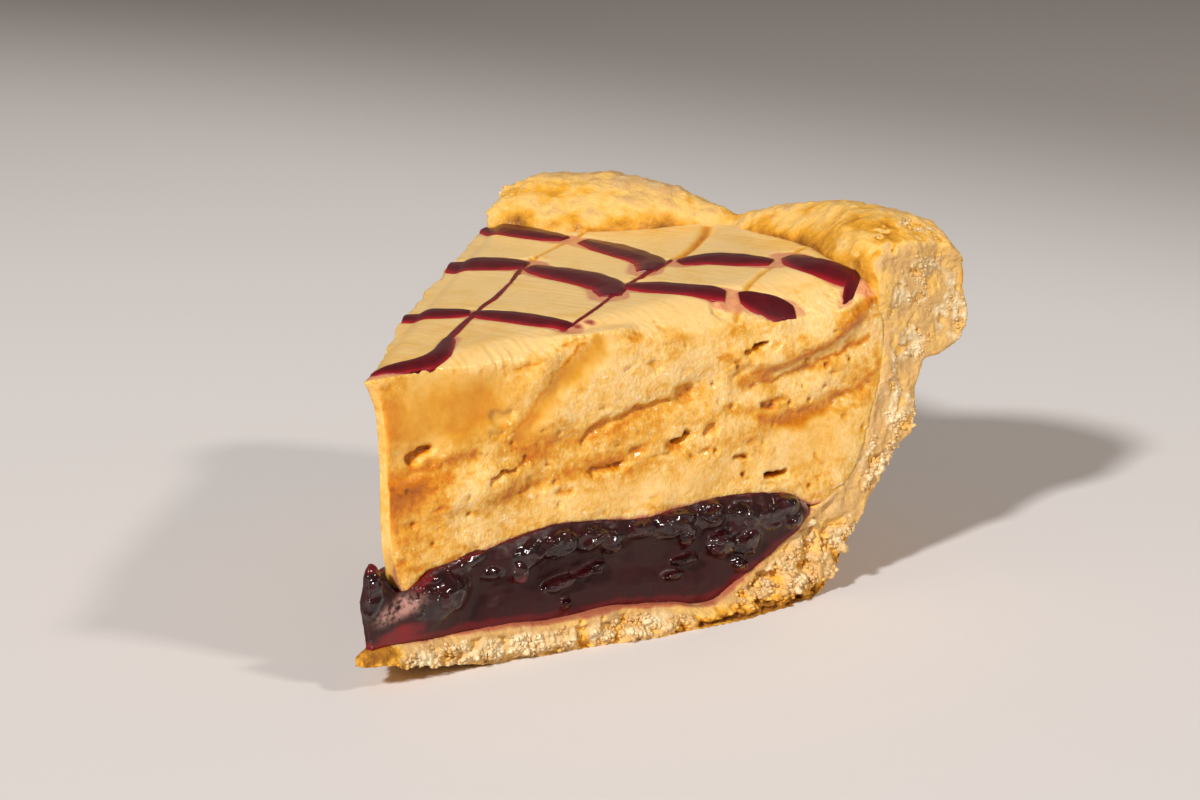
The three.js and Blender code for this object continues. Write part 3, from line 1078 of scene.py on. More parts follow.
# The marks on the near cut, by distance from the tip and height.
NEAR_MARKS: tuple[Mark, ...] = (
    # The textured slab and the smooth channel that the knife left beside it.
    Mark(((29, 37.9), (33.1, 41.6), (37.9, 46.8), (45, 50.8)), 2.4, rise=-0.15, warmth=0.48),
    Mark(((27.6, 38), (31.5, 42), (36, 47), (42, 51.5)), 0.5, lip=-0.12, warmth=0.6),
    Mark(((29, 37.2), (37, 35.7), (41.8, 35.1)), 2.2, warmth=0.56),
    Mark(((41.8, 35.1), (44.4, 37), (51.1, 38.7), (59.1, 39.6)), 0.7, rise=-0.5, lip=0.2, warmth=0.66,
         hard=3),
    Mark(((44, 35.4), (50, 37), (57, 38), (64, 39.6)), 1.5, warmth=0.5),
    Mark(((61.8, 40), (63.9, 40.4)), 1.5, rise=-0.9, warmth=0.6, hard=3),
    # The crescent near the tip and the smear under it.
    Mark(((12, 38.5), (10.1, 38), (8.4, 36.6)), 0.75, rise=-1.5, warmth=0.85, hard=3),
    Mark(((5, 34.2), (8.2, 35), (13.8, 35.6), (20.7, 35.8)), 1.5, rise=-0.3, lip=0.35, warmth=0.66),
    Mark(((4, 31.6), (10, 32), (14.7, 32.9)), 2.6, warmth=0.42),
    Mark(((2, 42), (4, 36), (5, 28)), 3.2, warmth=0.24),
    # Dimples, slits and holes, their warmth partly caramel and partly painted shade in the deeper ones.
    Mark(((24.2, 41.8), (27.3, 41.2)), 0.9, rise=-0.9, warmth=0.3, hard=3),
    Mark(((23.8, 38.8), (25.9, 38.6)), 0.6, rise=-0.5, warmth=0.3, hard=3),
    Mark(((23.1, 31.2), (25.3, 32.1), (27.8, 32.4)), 0.45, rise=-1.3, warmth=0.7, hard=3),
    Mark(((31.1, 29.5), (34, 29.1)), 1.0, rise=-0.7, warmth=0.5, hard=3),
    Mark(((37, 27.2), (38.6, 26.8)), 0.8, rise=-0.6, warmth=0.5, hard=3),
    Mark(((71.5, 54.8), (71.6, 52.2)), 0.9, rise=-1.1, warmth=0.45, hard=3),
    Mark(((75.9, 45.8), (77.6, 46.3), (79.5, 46.7)), 0.5, rise=-2.0, lip=0.3, warmth=0.95, hard=4),
    Mark(((60.8, 32.4), (62.1, 32.7), (63.3, 33.2)), 0.6, rise=-2.6, warmth=1.0, hard=4),
    Mark(((59.8, 31.4), (61.5, 31.6)), 1.2, rise=-0.8, warmth=0.66, hard=3),
    Mark(((67.3, 33.3), (69, 33.2)), 0.9, rise=-1.0, warmth=0.62, hard=3),
    Mark(((52, 31.8), (53.2, 31.9)), 0.9, rise=-0.8, warmth=0.66, hard=3),
    Mark(((44, 29.6), (47.5, 29.5), (50.1, 29.7)), 0.7, rise=-1.0, lip=-0.3, warmth=0.72, hard=3),
    Mark(((50.5, 28.6), (53.4, 29), (55.3, 29.4)), 1.3, rise=-0.3, warmth=0.5),
    Mark(((73.8, 27.5), (75.5, 27.4)), 0.5, rise=-1.1, warmth=0.75, hard=3),
    Mark(((75.5, 24.5), (75.8, 24.4)), 0.45, rise=-1.2, warmth=0.85, hard=3),
    Mark(((80.3, 23.4), (82.5, 23.2), (84.7, 23.4)), 0.62, rise=-2.8, warmth=1.0, hard=5),
    Mark(((79.9, 35.7), (81.4, 35.5)), 0.6, rise=-0.8, warmth=0.9, hard=3),
    Mark(((87.7, 38), (87.9, 38)), 0.4, rise=-0.7, warmth=0.6, hard=3),
    Mark(((92.6, 37.5), (92.8, 37.5)), 0.4, rise=-0.7, warmth=0.6, hard=3),
    Mark(((90.6, 25.6), (90.6, 24.9)), 0.4, rise=-0.4, warmth=0.55),
    Mark(((90.9, 21.4), (90.9, 20.9)), 0.5, rise=-0.4, warmth=0.5),
    # The two caramel folds that run up to the rim.
    Mark(((75, 40.6), (77.5, 41.1), (80.5, 40.7)), 1.5, rise=0.2, warmth=0.58, hard=3),
    Mark(((77, 41.8), (81.5, 42.4), (87, 43.4), (93.5, 45.2), (100.6, 49)), 1.2, rise=0.15, warmth=0.66),
    Mark(((77, 39.6), (84.8, 40.6), (91, 41.6), (97, 43.6), (102, 44.6)), 0.6, rise=-0.2, lip=0.1,
         warmth=0.7),
    Mark(((96, 47.4), (100, 50), (103, 51.5)), 2.2, warmth=0.6),
    Mark(((79, 33.6), (83, 32.4), (87.2, 32.2), (93, 34)), 2.0, rise=-0.2, warmth=0.68),
    Mark(((85, 33.6), (93.8, 34.6), (100.4, 36.2), (103.4, 38)), 1.3, rise=-0.25, lip=0.15, warmth=0.62),
    Mark(((72, 36), (78, 35.4), (84, 34.6)), 1.3, rise=-0.3, warmth=0.44),
    Mark(((73, 42.1), (74.4, 43.1), (76.1, 43.9)), 1.1, rise=-0.8, warmth=0.4),
    Mark(((104, 42), (104.6, 38), (103, 34)), 1.1, warmth=0.5),
)

# The score lines across the top.
SCORES: tuple[Mark, ...] = (
    Mark(((66, 14.8), (70, 16.4), (76, 18.2)), 0.8, rise=-0.3, warmth=0.6),
    Mark(((76, 18.2), (85, 19.5), (92, 20), (99, 21.6)), 0.5, rise=-0.4, warmth=0.62),
    Mark(((113, 4), (105, 0), (95, -3), (84, -5), (72, -6)), 0.9, rise=-0.6, warmth=0.72),
    Mark(((104, -21), (98, -21.5), (85, -23), (75, -25), (67, -28), (60, -31)), 0.5, rise=-0.4, warmth=0.5),
)

# The thin threads of jam that lie in the score lines between the stripes.
THREADS: tuple[tuple[Line, float], ...] = (
    (((17, -2.6), (21, -0.6), (25, 1.2), (33, 4), (40, 6.2)), 1.3),
    (((40, 6.2), (45, 7.8), (50, 9), (60, 12.5)), 0.9),
    (((60, 12.5), (66, 15), (70.5, 16.8)), 0.8),
    (((41, -12), (47, -11.2), (53, -10), (58.5, -8.6)), 0.7),
    (((58.5, -8.6), (64, -7.4), (72, -6.2)), 1.1),
    (((72, -6.2), (78, -5.2), (86, -4.2)), 1.2),
)


@dataclass(frozen=True)
class Patch:
    """A broad patch of tone on a cut: its middle, half sizes, lean in degrees and tone."""

    along: float
    height: float
    long: float
    tall: float
    tone: float
    lean: float = 0.0

    def share(self, along: np.ndarray, height: np.ndarray, hard: float = 2.0) -> np.ndarray:
        """How much of the patch there is at points of the cut.

        Args:
            along: Distance from the tip along the cut.
            height: Height.
            hard: How steep the patch's edge is.

        Returns:
            A share from 0 to 1 for each point.
        """
        turn = math.radians(self.lean)
        u, v = along - self.along, height - self.height
        across = (u * math.cos(turn) + v * math.sin(turn)) / self.long
        up = (v * math.cos(turn) - u * math.sin(turn)) / self.tall
        return bell(np.hypot(across, up), 1.0, hard)


# The broad tones of the near cut, from cream at 0 to caramel at 1.
NEAR_TONES: tuple[Patch, ...] = (
    Patch(4.5, 43, 3.0, 7.0, 0.5), Patch(3.6, 30, 4.0, 5.0, 0.74), Patch(9.0, 32.0, 7.0, 3.0, 0.76, 12),
    Patch(13, 44, 9.0, 6.0, 0.46), Patch(24, 44, 7.0, 4.0, 0.40, 20),
    Patch(20, 29.5, 4.5, 2.6, 0.06, 15), Patch(10, 24, 7.0, 5.0, 0.50, 30),
    Patch(33, 34.5, 6.0, 2.6, 0.72), Patch(26, 28.6, 6.0, 1.6, 0.55, 14),
    Patch(45, 40, 6.0, 4.0, 0.14, 20), Patch(49, 45, 9.0, 5.0, 0.10, 20), Patch(62, 44, 6.0, 4.0, 0.08),
    Patch(66, 33, 5.0, 3.0, 0.08), Patch(70, 39, 5.0, 3.0, 0.20), Patch(52, 35, 8.0, 1.6, 0.44, 8),
    Patch(38, 30, 9.0, 1.8, 0.5, 8), Patch(48, 31, 8.0, 1.4, 0.52, 10),
    Patch(30, 25, 6.0, 3.0, 0.12, 20), Patch(48, 25, 10.0, 3.0, 0.14),
    Patch(58, 29, 6.0, 2.0, 0.30, 10), Patch(72, 31, 6.0, 2.0, 0.44, 10), Patch(84, 30, 9.0, 4.0, 0.18),
    Patch(91, 38, 7.0, 2.0, 0.12, 14), Patch(96.5, 50.2, 4.5, 1.6, 0.0, 30),
    Patch(88, 49.2, 6.0, 1.6, 0.04, 8), Patch(90, 27, 6.0, 5.0, 0.22),
    Patch(78, 37.5, 5.0, 1.8, 0.10, 10), Patch(72, 25, 8.0, 3.0, 0.20),
)

# Where the knife left the near cut smooth: the tone says how smooth, and the number how sharp it ends.
NEAR_CALM: tuple[tuple[Patch, int], ...] = (
    (Patch(15, 44.5, 14, 7.5, 0.97), 4), (Patch(66, 51, 9, 3.5, 0.5), 3), (Patch(90, 28, 12, 6, 0.6), 3),
    (Patch(60, 25, 26, 3.0, 0.5), 3), (Patch(6, 32, 7, 10, 0.5), 3),
)
# The smooth channel and the crimped edge on the near cut.
CHANNEL: Line = ((30, 38.5), (37, 45), (46, 50.5))
CRIMP: Line = ((17, 51.2), (29, 51.6), (45, 54.2), (58, 55.4))
# The strand of cream at the torn corner of the top, and the drips of jam beside a stripe.
STRAND: Line = ((99.5, -36.6), (96, -37.2), (92, -37.8), (87.5, -37.9), (83, -37.8))
DRIPS: Line = ((39, -11.8), (42, -12.6), (44.5, -13.4))


@dataclass
class Filling:
    """The whipped filling, with its knife marks, holes and the score lines on its top."""

    wedge: Wedge
    top: TopSurface
    grid: float = 0.42
    hidden_share: float = 0.08
    hidden_from: float = 5.0
    plain_warmth: float = 0.22
    plain_wet: float = 0.25
    swell: float = 0.22
    scale_height: float = 0.13
    hole_spacing: float = 3.0
    hole_depth: float = 0.7
    pocket_depth: float = 0.55
    streak_depth: float = 0.7
    inlay_depth: float = 0.16
    strand_height: float = 0.7
    grain: Grain = field(default_factory=lambda: Grain(11))

    def build(self, finish: bpy.types.Material) -> bpy.types.Object:
        """Models and dresses the filling.

        Args:
            finish: The filling's material.

        Returns:
            The piece, in place of its solid.
        """
        piece = copy_of_solid("peanut_butter_filling", "filling")
        melt(piece, self.grid, 3)
        self._level(Clay(piece, self.wedge))
        melt(piece, self.grid, 2)
        clay = Clay(piece, self.wedge)
        count = len(clay.points)
        self.up = ramp(0.5, 0.8, clay.normals[:, 2]) * (clay.points[:, 2] > 40)
        self.warmth = np.full(count, self.plain_warmth)
        self.stain = np.zeros(count)
        self.wet = np.full(count, self.plain_wet)
        self.torn = np.zeros(count)
        self._work_near(clay)
        self._work_far(clay)
        self._score(clay)
        self._tone(clay)
        clay.paint(warmth=self.warmth, stain=self.stain, wet=self.wet, torn=self.torn)
        clay.thin(self._hidden(clay), self.hidden_share)
        dress(piece, finish)
        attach(piece, "root")
        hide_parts("peanut_butter_filling")
        return piece

    def _level(self, clay: Clay) -> None:
        """Takes the stripes' domes off the top, and lays the sides close to their neighbours.

        Args:
            clay: The skin of the piece.
        """
        x, y, z = clay.points.T
        above = z - self.top.height(x, y)
        up = ramp(0.25, 0.6, clay.normals[:, 2])
        clay.points[:, 2] -= np.where(above > 0, above, up * above * (above > -2.2))
        along = self.wedge.along(clay.points, Cut.NEAR)
        deep = np.clip(self.wedge.inside(clay.points, Cut.NEAR), 0.0, 4.0)
        calm = clay.facing(Cut.NEAR, 0.1, 0.4) * ramp(22, 25, z) * (1 - ramp(44, 51, z)) * ramp(12, 22, along)
        channel = bell(to_line(along, z, ((29, 36), (35, 43), (40, 48), (47, 53)))[0], 6.0, 4)
        calm = np.maximum(calm, channel * clay.facing(Cut.NEAR, 0.0, 0.2) * (z < 53))
        clay.push(self.wedge.outward(Cut.NEAR), (0.55 + 0.35 * channel) * deep * calm)
        proud = np.clip(-self.wedge.inside(clay.points, Cut.NEAR), 0.0, 3.0)
        slab = Patch(52, 45.5, 20, 9, 0, 12).share(along, z, 5) * clay.facing(Cut.NEAR, 0.0, 0.2)
        clay.push(self.wedge.outward(Cut.NEAR), -0.8 * proud * slab)
        radius = np.hypot(x, y)
        radial = clay.points * np.array([1.0, 1.0, 0.0]) / radius[:, None]
        back = ramp(0.5, 0.8, np.einsum("ij,ij->i", clay.normals, radial)) * ramp(85, 92, radius)
        clay.push(radial, 1.5 * back)
        under = ramp(0.2, 0.6, -clay.normals[:, 2]) * (z < 30)
        edge = 1 - ramp(1.0, 5.0, self.wedge.inside(clay.points, Cut.NEAR))
        lobe = bell(self.wedge.along(clay.points, Cut.NEAR) - 7.2, 2.4) * edge
        clay.points[:, 2] -= (0.45 + 0.7 * edge * ramp(7, 14, x) + 1.4 * lobe) * under
        clay.put()

    def _texture(self, clay: Clay, torn: np.ndarray) -> np.ndarray:
        """Texture of a cut: scales, small holes and soft unevenness, with painted shade in the holes and
        pockets and painted light on the raised scales.

        Args:
            clay: The filling.
            torn: 0 where the knife smoothed the cut, 1 where it tore.

        Returns:
            The relief, in millimetres.
        """
        points, grain = clay.points, self.grain
        relief = self.swell * grain.waves(points, 7.0) + 0.1 * grain.waves(points + 60, 3.0) * (0.3 + torn)
        scales = 1 - np.abs(grain.waves(points + 11, (1.7, 1.7, 1.0)))
        relief += self.scale_height * torn * (scales - 0.6) + 0.05 * torn * grain.waves(points + 5, 0.9)
        first, _, own = grain.lumps(points, self.hole_spacing)
        hole = bell(first, 0.08 + 0.1 * own, 3) * (own > 0.72) * (0.2 + torn)
        relief -= self.hole_depth * hole
        pocket = ramp(0.42, 0.85, grain.waves(points + 70, (3.6, 3.6, 1.6))) * torn
        relief -= self.pocket_depth * pocket
        # Painted shade warms the holes and pockets, and painted light pales the raised scales.
        self.warmth += 0.3 * hole + 0.26 * pocket - 0.22 * torn * (scales - 0.6)
        self.warmth += 0.16 * grain.layers(points + 90, 8.0, 3)
        self.warmth += 0.2 * torn * ramp(0.1, 0.7, grain.waves(points + 120, (4.5, 4.5, 2.2)))
        return relief

    def _work_near(self, clay: Clay) -> None:
        """Carves the knife's marks, the torn texture and the holes in the near cut.

        Args:
            clay: The skin of the piece.
        """
        face = clay.facing(Cut.NEAR)
        along, z = clay.on_cut(Cut.NEAR)
        calm = 0.85 * bell(to_line(along, z, CHANNEL)[0], 2.4, 3)
        for patch, hard in NEAR_CALM:
            calm = np.maximum(calm, patch.tone * patch.share(along, z, hard))
        torn = 1 - calm
        self.torn = np.maximum(self.torn, torn * face)
        before = self.warmth.copy()
        relief = self._texture(clay, torn)
        for patch in NEAR_TONES:
            share = 0.8 * patch.share(along, z)
            self.warmth = self.warmth * (1 - share) + (
                patch.tone + 0.4 * (self.warmth - self.plain_warmth)) * share
        self.warmth = 0.3 + 1.3 * (self.warmth - 0.3)
        self.warmth = before + (self.warmth - before) * face
        crimp = bell(to_line(along, z, CRIMP)[0], 1.7, 3)
        folds = self.grain.waves(np.c_[along * 1.0, z * 0.25, 0 * z], 0.9)
        edge = crimp * clay.facing(Cut.NEAR, 0.0, 0.3)
        relief = relief * (1 - edge) + edge * (0.35 * folds + 0.1)
        face = np.maximum(face, edge)
        self.wet = np.maximum(self.wet, 0.9 * edge)
        # The crimped edge is paler cream, with painted highlights paling its raised folds.
        self.warmth -= edge * (0.16 + 0.14 * folds)
        waves = [self.grain.waves(clay.points + shift, size)
                 for shift, size in ((13, 2.6), (14, 1.1), (17, 2.6), (18, 1.1))]
        bent = along + 0.9 * waves[0] + 0.3 * waves[1], z + 0.6 * waves[2] + 0.25 * waves[3]
        for mark in NEAR_MARKS:
            share, rise = mark.read(*bent)
            relief += (1.0 if mark.hard > 2.5 else 0.6) * rise
            self.warmth = np.maximum(self.warmth, share * face * mark.warmth)
            if mark.warmth > 0.5:
                self.wet = np.maximum(self.wet, 0.8 * share * face)
        clay.push(self.wedge.outward(Cut.NEAR), relief * face * (0.25 + 0.75 * ramp(2.0, 9.0, along)))
        self._stain_low(along, z, face)
        clay.put()

    def _stain_low(self, along: np.ndarray, z: np.ndarray, face: np.ndarray) -> None:
        """Lets a little jelly bleed into the lower edge of a cut.

        Args:
            along: Distance from the tip along the cut.
            z: Height.
            face: How much each point belongs to the cut.
        """
        gap = z - self.wedge.roof(along) + 0.4 * self.grain.waves(np.c_[along, z, 0 * z], 2.5)
        self.stain = np.maximum(self.stain, 0.6 * face * (1 - ramp(-0.6, 0.6, gap)))

    def _work_far(self, clay: Clay) -> None:
        """Tears the far cut in the same way, with its own streaks of caramel.

        Args:
            clay: The skin of the piece.
        """
        face = clay.facing(Cut.FAR)
        along, z = clay.on_cut(Cut.FAR)
        torn = 1 - ramp(-0.1, 0.5, self.grain.waves(np.c_[along + 3 * z, z * 2.2, 0 * z], 17))
        self.torn = np.maximum(self.torn, torn * face)
        before = self.warmth.copy()
        relief = self._texture(clay, torn)
        streak = ramp(0.35, 0.75, self.grain.waves(np.c_[along - 1.4 * z, z * 3.4, 0 * z + 9], 15))
        relief -= self.streak_depth * streak
        self.warmth += 0.3 * streak
        self.warmth = before + (self.warmth - before) * face
        self._stain_low(along, z, face)
        clay.push(self.wedge.outward(Cut.FAR), relief * face * ramp(2.0, 12.0, along))
        clay.put()

    def _score(self, clay: Clay) -> None:
        """Draws the score lines and the strokes of the palette knife across the top.

        Args:
            clay: The skin of the piece.
        """
        x, y, _ = clay.points.T
        up = self.up
        strokes = self.grain.waves(np.c_[x, 0.06 * y, 0 * x], 0.9)
        relief = 0.05 * strokes + 0.12 * self.grain.waves(clay.points + 3, 9.0)
        self.warmth += up * (0.08 * strokes + 0.07 * self.grain.layers(clay.points + 7, 12.0, 2) - 0.15)
        for mark in SCORES:
            share, rise = mark.read(x, y)
            relief += rise + 0.12 * bell(to_line(x, y, mark.line)[0] - 1.7 * mark.width, 0.7)
            self.warmth = np.maximum(self.warmth, up * share * mark.warmth)
            self.wet = np.maximum(self.wet, 0.5 * up * share)
        for line, width in THREADS:
            away = to_line(x, y, line)[0]
            relief -= 0.15 * bell(away, 0.8)
            self.stain = np.maximum(self.stain, 0.3 * up * (1 - ramp(0.3, 0.9, away / width)))
        inlaid = np.zeros(len(x))
        for line, width in STRIPES:
            away, side = to_line(x, y, line)
            soft = np.where(side < 0, 1.3, 0.3)
            edge = 0.5 * width - 0.45
            self.stain = np.maximum(self.stain, up * 0.42 * (1 - ramp(0.0, 1.0, (away - edge) / soft)))
            inlaid = np.maximum(inlaid, 1 - ramp(0.42 * width, 0.5 * width + 0.8, away))
        relief = relief * (1 - inlaid) - self.inlay_depth * inlaid
        strand = bell(to_line(x, y, STRAND)[0], 1.0, 3)
        relief += self.strand_height * strand
        self.warmth -= 0.4 * strand * up
        self.wet = np.maximum(self.wet, strand * up)
        clay.points[:, 2] += relief * up
        clay.put()

    def _tone(self, clay: Clay) -> None:
        """Sets the broad tones of the top and the drips on its edge.

        Args:
            clay: The skin of the piece.
        """
        x, y, _ = clay.points.T
        self.warmth += 0.14 * bell(np.hypot(x, y) - 105, 4.0) * self.up
        self.warmth += 0.06 * self.up * (1 - ramp(10, 34, x)) - 0.08 * self.up * ramp(30, 60, x)
        for drip_x, drip_y in DRIPS:
            self.stain = np.maximum(self.stain, 0.9 * bell(np.hypot(x - drip_x, y - drip_y), 1.0, 3))

    def _hidden(self, clay: Clay) -> np.ndarray:
        """True for the points under the filling and against the wall.

        Args:
            clay: The skin of the piece.

        Returns:
            One answer for each point.
        """
        x, y, z = clay.points.T
        under = (clay.normals[:, 2] < -0.4) & (z < 30)
        back = (clay.radius() > 88) & (z < self.top.height(x, y) - 3.0)
        return (self.wedge.margin(clay.points) > self.hidden_from) & (under | back)


@dataclass
class JamStripes:
    """The drizzled stripes: thick on the rim side, thin and clear on the side of the tip."""

    wedge: Wedge
    top: TopSurface
    proud: float = 0.62
    thread_proud: float = 0.1
    sunk: float = 0.7
    stripe_faces: tuple[int, int] = (90, 16)
    thread_faces: tuple[int, int] = (60, 4)
    path_steps: int = 200
    wobble: float = 0.12
    grain: Grain = field(default_factory=lambda: Grain(23))

    def build(self, finish: bpy.types.Material) -> bpy.types.Object:
        """Models and dresses the stripes.

        Args:
            finish: The jam's material.

        Returns:
            The piece with all the stripes.
        """
        stripes = [self._stripe(line, width, True) for line, width in STRIPES]
        threads = [self._stripe(line, width, False) for line, width in THREADS]
        piece = join([*stripes, *threads], "jam_stripes")
        self._colour(Clay(piece, self.wedge))
        dress(piece, finish)
        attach(piece, "root")
        return piece

    def _path(self, line: Line, steps: int) -> tuple[np.ndarray, np.ndarray]:
        """Even points on a smooth curve through a line, and the curve's direction at each.

        Args:
            line: The points that the curve passes.
            steps: How many points it gets.

        Returns:
            The points, and the direction at each.
        """
        points = np.array(line, float)
        padded = np.vstack([2 * points[0] - points[1], points, 2 * points[-1] - points[-2]])
        fine = []
        for i in range(1, len(padded) - 2):
            a, b, c, d = padded[i - 1: i + 3]
            t = np.linspace(0, 1, 24, endpoint=False)[:, None]
            fine.append(0.5 * (2 * b + (c - a) * t + (2 * a - 5 * b + 4 * c - d) * t**2
                               + (3 * b - a - 3 * c + d) * t**3))
        curve = np.vstack([*fine, points[-1:]])
        run = np.r_[0, np.cumsum(np.linalg.norm(np.diff(curve, axis=0), axis=1))]
        even = np.linspace(0, run[-1], steps)
        path = np.c_[np.interp(even, run, curve[:, 0]), np.interp(even, run, curve[:, 1])]
        way = np.gradient(path, axis=0)
        return path, way / np.linalg.norm(way, axis=1, keepdims=True)

    def _stripe(self, line: Line, width: float, thick: bool) -> bpy.types.Object:
        """One stripe, drawn as a flat sheet, raised and bent along its line.

        Args:
            line: The middle of the stripe.
            width: Its width in millimetres.
            thick: True for a stripe, False for a thread.

        Returns:
            The stripe.
        """
        proud = self.proud if thick else self.thread_proud
        steps, across = self.stripe_faces if thick else self.thread_faces
        bpy.ops.object.select_all(action="DESELECT")
        bpy.ops.mesh.primitive_grid_add(x_subdivisions=steps, y_subdivisions=across, size=2)
        piece = fresh("stripe")
        with edited(piece):
            bpy.ops.mesh.extrude_region_move(TRANSFORM_OT_translate={"value": (0, 0, 1)})
            bpy.ops.mesh.select_all(action="SELECT")
            bpy.ops.mesh.normals_make_consistent(inside=False)
        u, v, w = points_of(piece).T
        path, way = self._path(line, self.path_steps)
        at = (u + 1) / 2 * (self.path_steps - 1)
        index = np.arange(self.path_steps)
        cx, cy = (np.interp(at, index, values) for values in path.T)
        dx, dy = (np.interp(at, index, values) for values in way.T)
        edge = np.sin(np.pi * (0.08 + 0.84 * (u + 1) / 2)) ** 0.5
        wobble = 1 + self.wobble * self.grain.waves(np.c_[cx, cy, v], 3.0)
        offset = 0.5 * width * edge * wobble * v
        x, y = cx - dy * offset, cy + dx * offset
        slope = np.where(v > 0, 1 - np.abs(v) ** 6, 1 - np.abs(v) ** 1.2)
        dome = (proud * edge + 0.08) * slope - 0.1 * thick
        z = self.top.height(x, y) + np.where(w > 0.5, dome, -self.sunk)
        set_points(piece, self.wedge.to_row(np.c_[x, y, z]))
        self._trim(piece)
        return piece

    def _trim(self, piece: bpy.types.Object) -> None:
        """Cuts a stripe off flush with both cuts of the slice.

        Args:
            piece: The stripe.
        """
        with edited(piece):
            for cut, beyond in ((Cut.NEAR, -0.1), (Cut.FAR, 2.3)):
                way = self.wedge.outward(cut)
                place = self.wedge.to_row(way * beyond)
                bpy.ops.mesh.select_all(action="SELECT")
                bpy.ops.mesh.bisect(plane_co=place, plane_no=way, use_fill=True, clear_outer=True)

    def _colour(self, clay: Clay) -> None:
        """Marks where the jam is thin enough for light to come through.

        Args:
            clay: The skin of the piece.
        """
        x, y, z = clay.points.T
        clay.points[:, 2] += 0.03 * self.grain.waves(clay.points, 3.0) * ramp(0, 0.5, clay.normals[:, 2])
        depth = z - self.top.height(x, y)
        clay.paint(thin=0.9 - 0.85 * ramp(-0.08, 0.3, depth), smear=0 * x, dull=0.2 + 0 * x,
                   crinkle=0.15 + 0.5 * (np.hypot(x, y) < 15))
        clay.put()


# ---- The jelly ---------------------------------------------------------------------------------


@dataclass(frozen=True)
class Berry:
    """One soft berry or run of jelly at a cut: its middle on the cut, half sizes and lean."""

    along: float
    height: float
    long: float
    tall: float
    out: float = 0.4
    lean: float = 0.0
    crinkle: float = 1.0


# The berries and runs of jelly on the near cut.
NEAR_BERRIES: tuple[Berry, ...] = (
    # The drip beside the tip, and the big berry.
    Berry(0.7, 18.0, 1.7, 3.5, 0.9, 8, 0.9), Berry(0.0, 14.0, 1.6, 2.4, 0.8, 0, 0.8),
    Berry(2.0, 11.8, 2.0, 2.0, 0.5, 0, 0.3), Berry(13.6, 13.9, 5.6, 3.8, 0.9, 3),
    Berry(9.8, 12.2, 2.2, 1.8, 0.6), Berry(18.4, 18.2, 4.6, 1.5, 0.2, 14, 0.5),
    Berry(23.6, 15.6, 2.2, 1.3, 0.3), Berry(28.8, 15.4, 1.8, 2.6, 0.7),
    # The ridge of berries along the top, with the lobes that hang from it.
    Berry(30.6, 17.8, 3.8, 2.4, 0.8, 10), Berry(36.6, 18.6, 4.2, 2.5, 0.8, 6),
    Berry(43.0, 18.6, 4.0, 2.3, 0.8, 2), Berry(47.2, 17.2, 2.1, 2.4, 0.8),
    Berry(53.2, 18.4, 3.2, 1.7, 0.6), Berry(60.0, 18.2, 4.8, 2.5, 0.9, 6),
    Berry(62.8, 15.8, 1.7, 2.4, 0.8), Berry(68.0, 18.4, 3.4, 2.5, 0.9),
    Berry(75.6, 17.4, 4.8, 2.2, 0.9, -12), Berry(80.4, 15.6, 2.6, 1.8, 0.6, -20),
    Berry(83.4, 17.6, 3.4, 2.4, 0.8), Berry(85.4, 15.0, 2.0, 1.8, 0.5),
    Berry(70.3, 12.9, 3.2, 2.6, 0.9), Berry(75.8, 12.4, 3.2, 2.6, 0.6),
    Berry(74.2, 8.6, 2.2, 1.3, 0.4, -20),
    # Smooth runs below the ridge, and the small lumps in them.
    Berry(43.4, 12.9, 3.2, 1.1, 0.3, 10), Berry(37.0, 11.5, 3.6, 1.1, 0.3, 12),
    Berry(38.2, 7.9, 1.3, 1.2, 0.3), Berry(60.6, 8.9, 2.4, 0.9, 0.15), Berry(62.9, 11.3, 3.0, 1.0, 0.2),
)


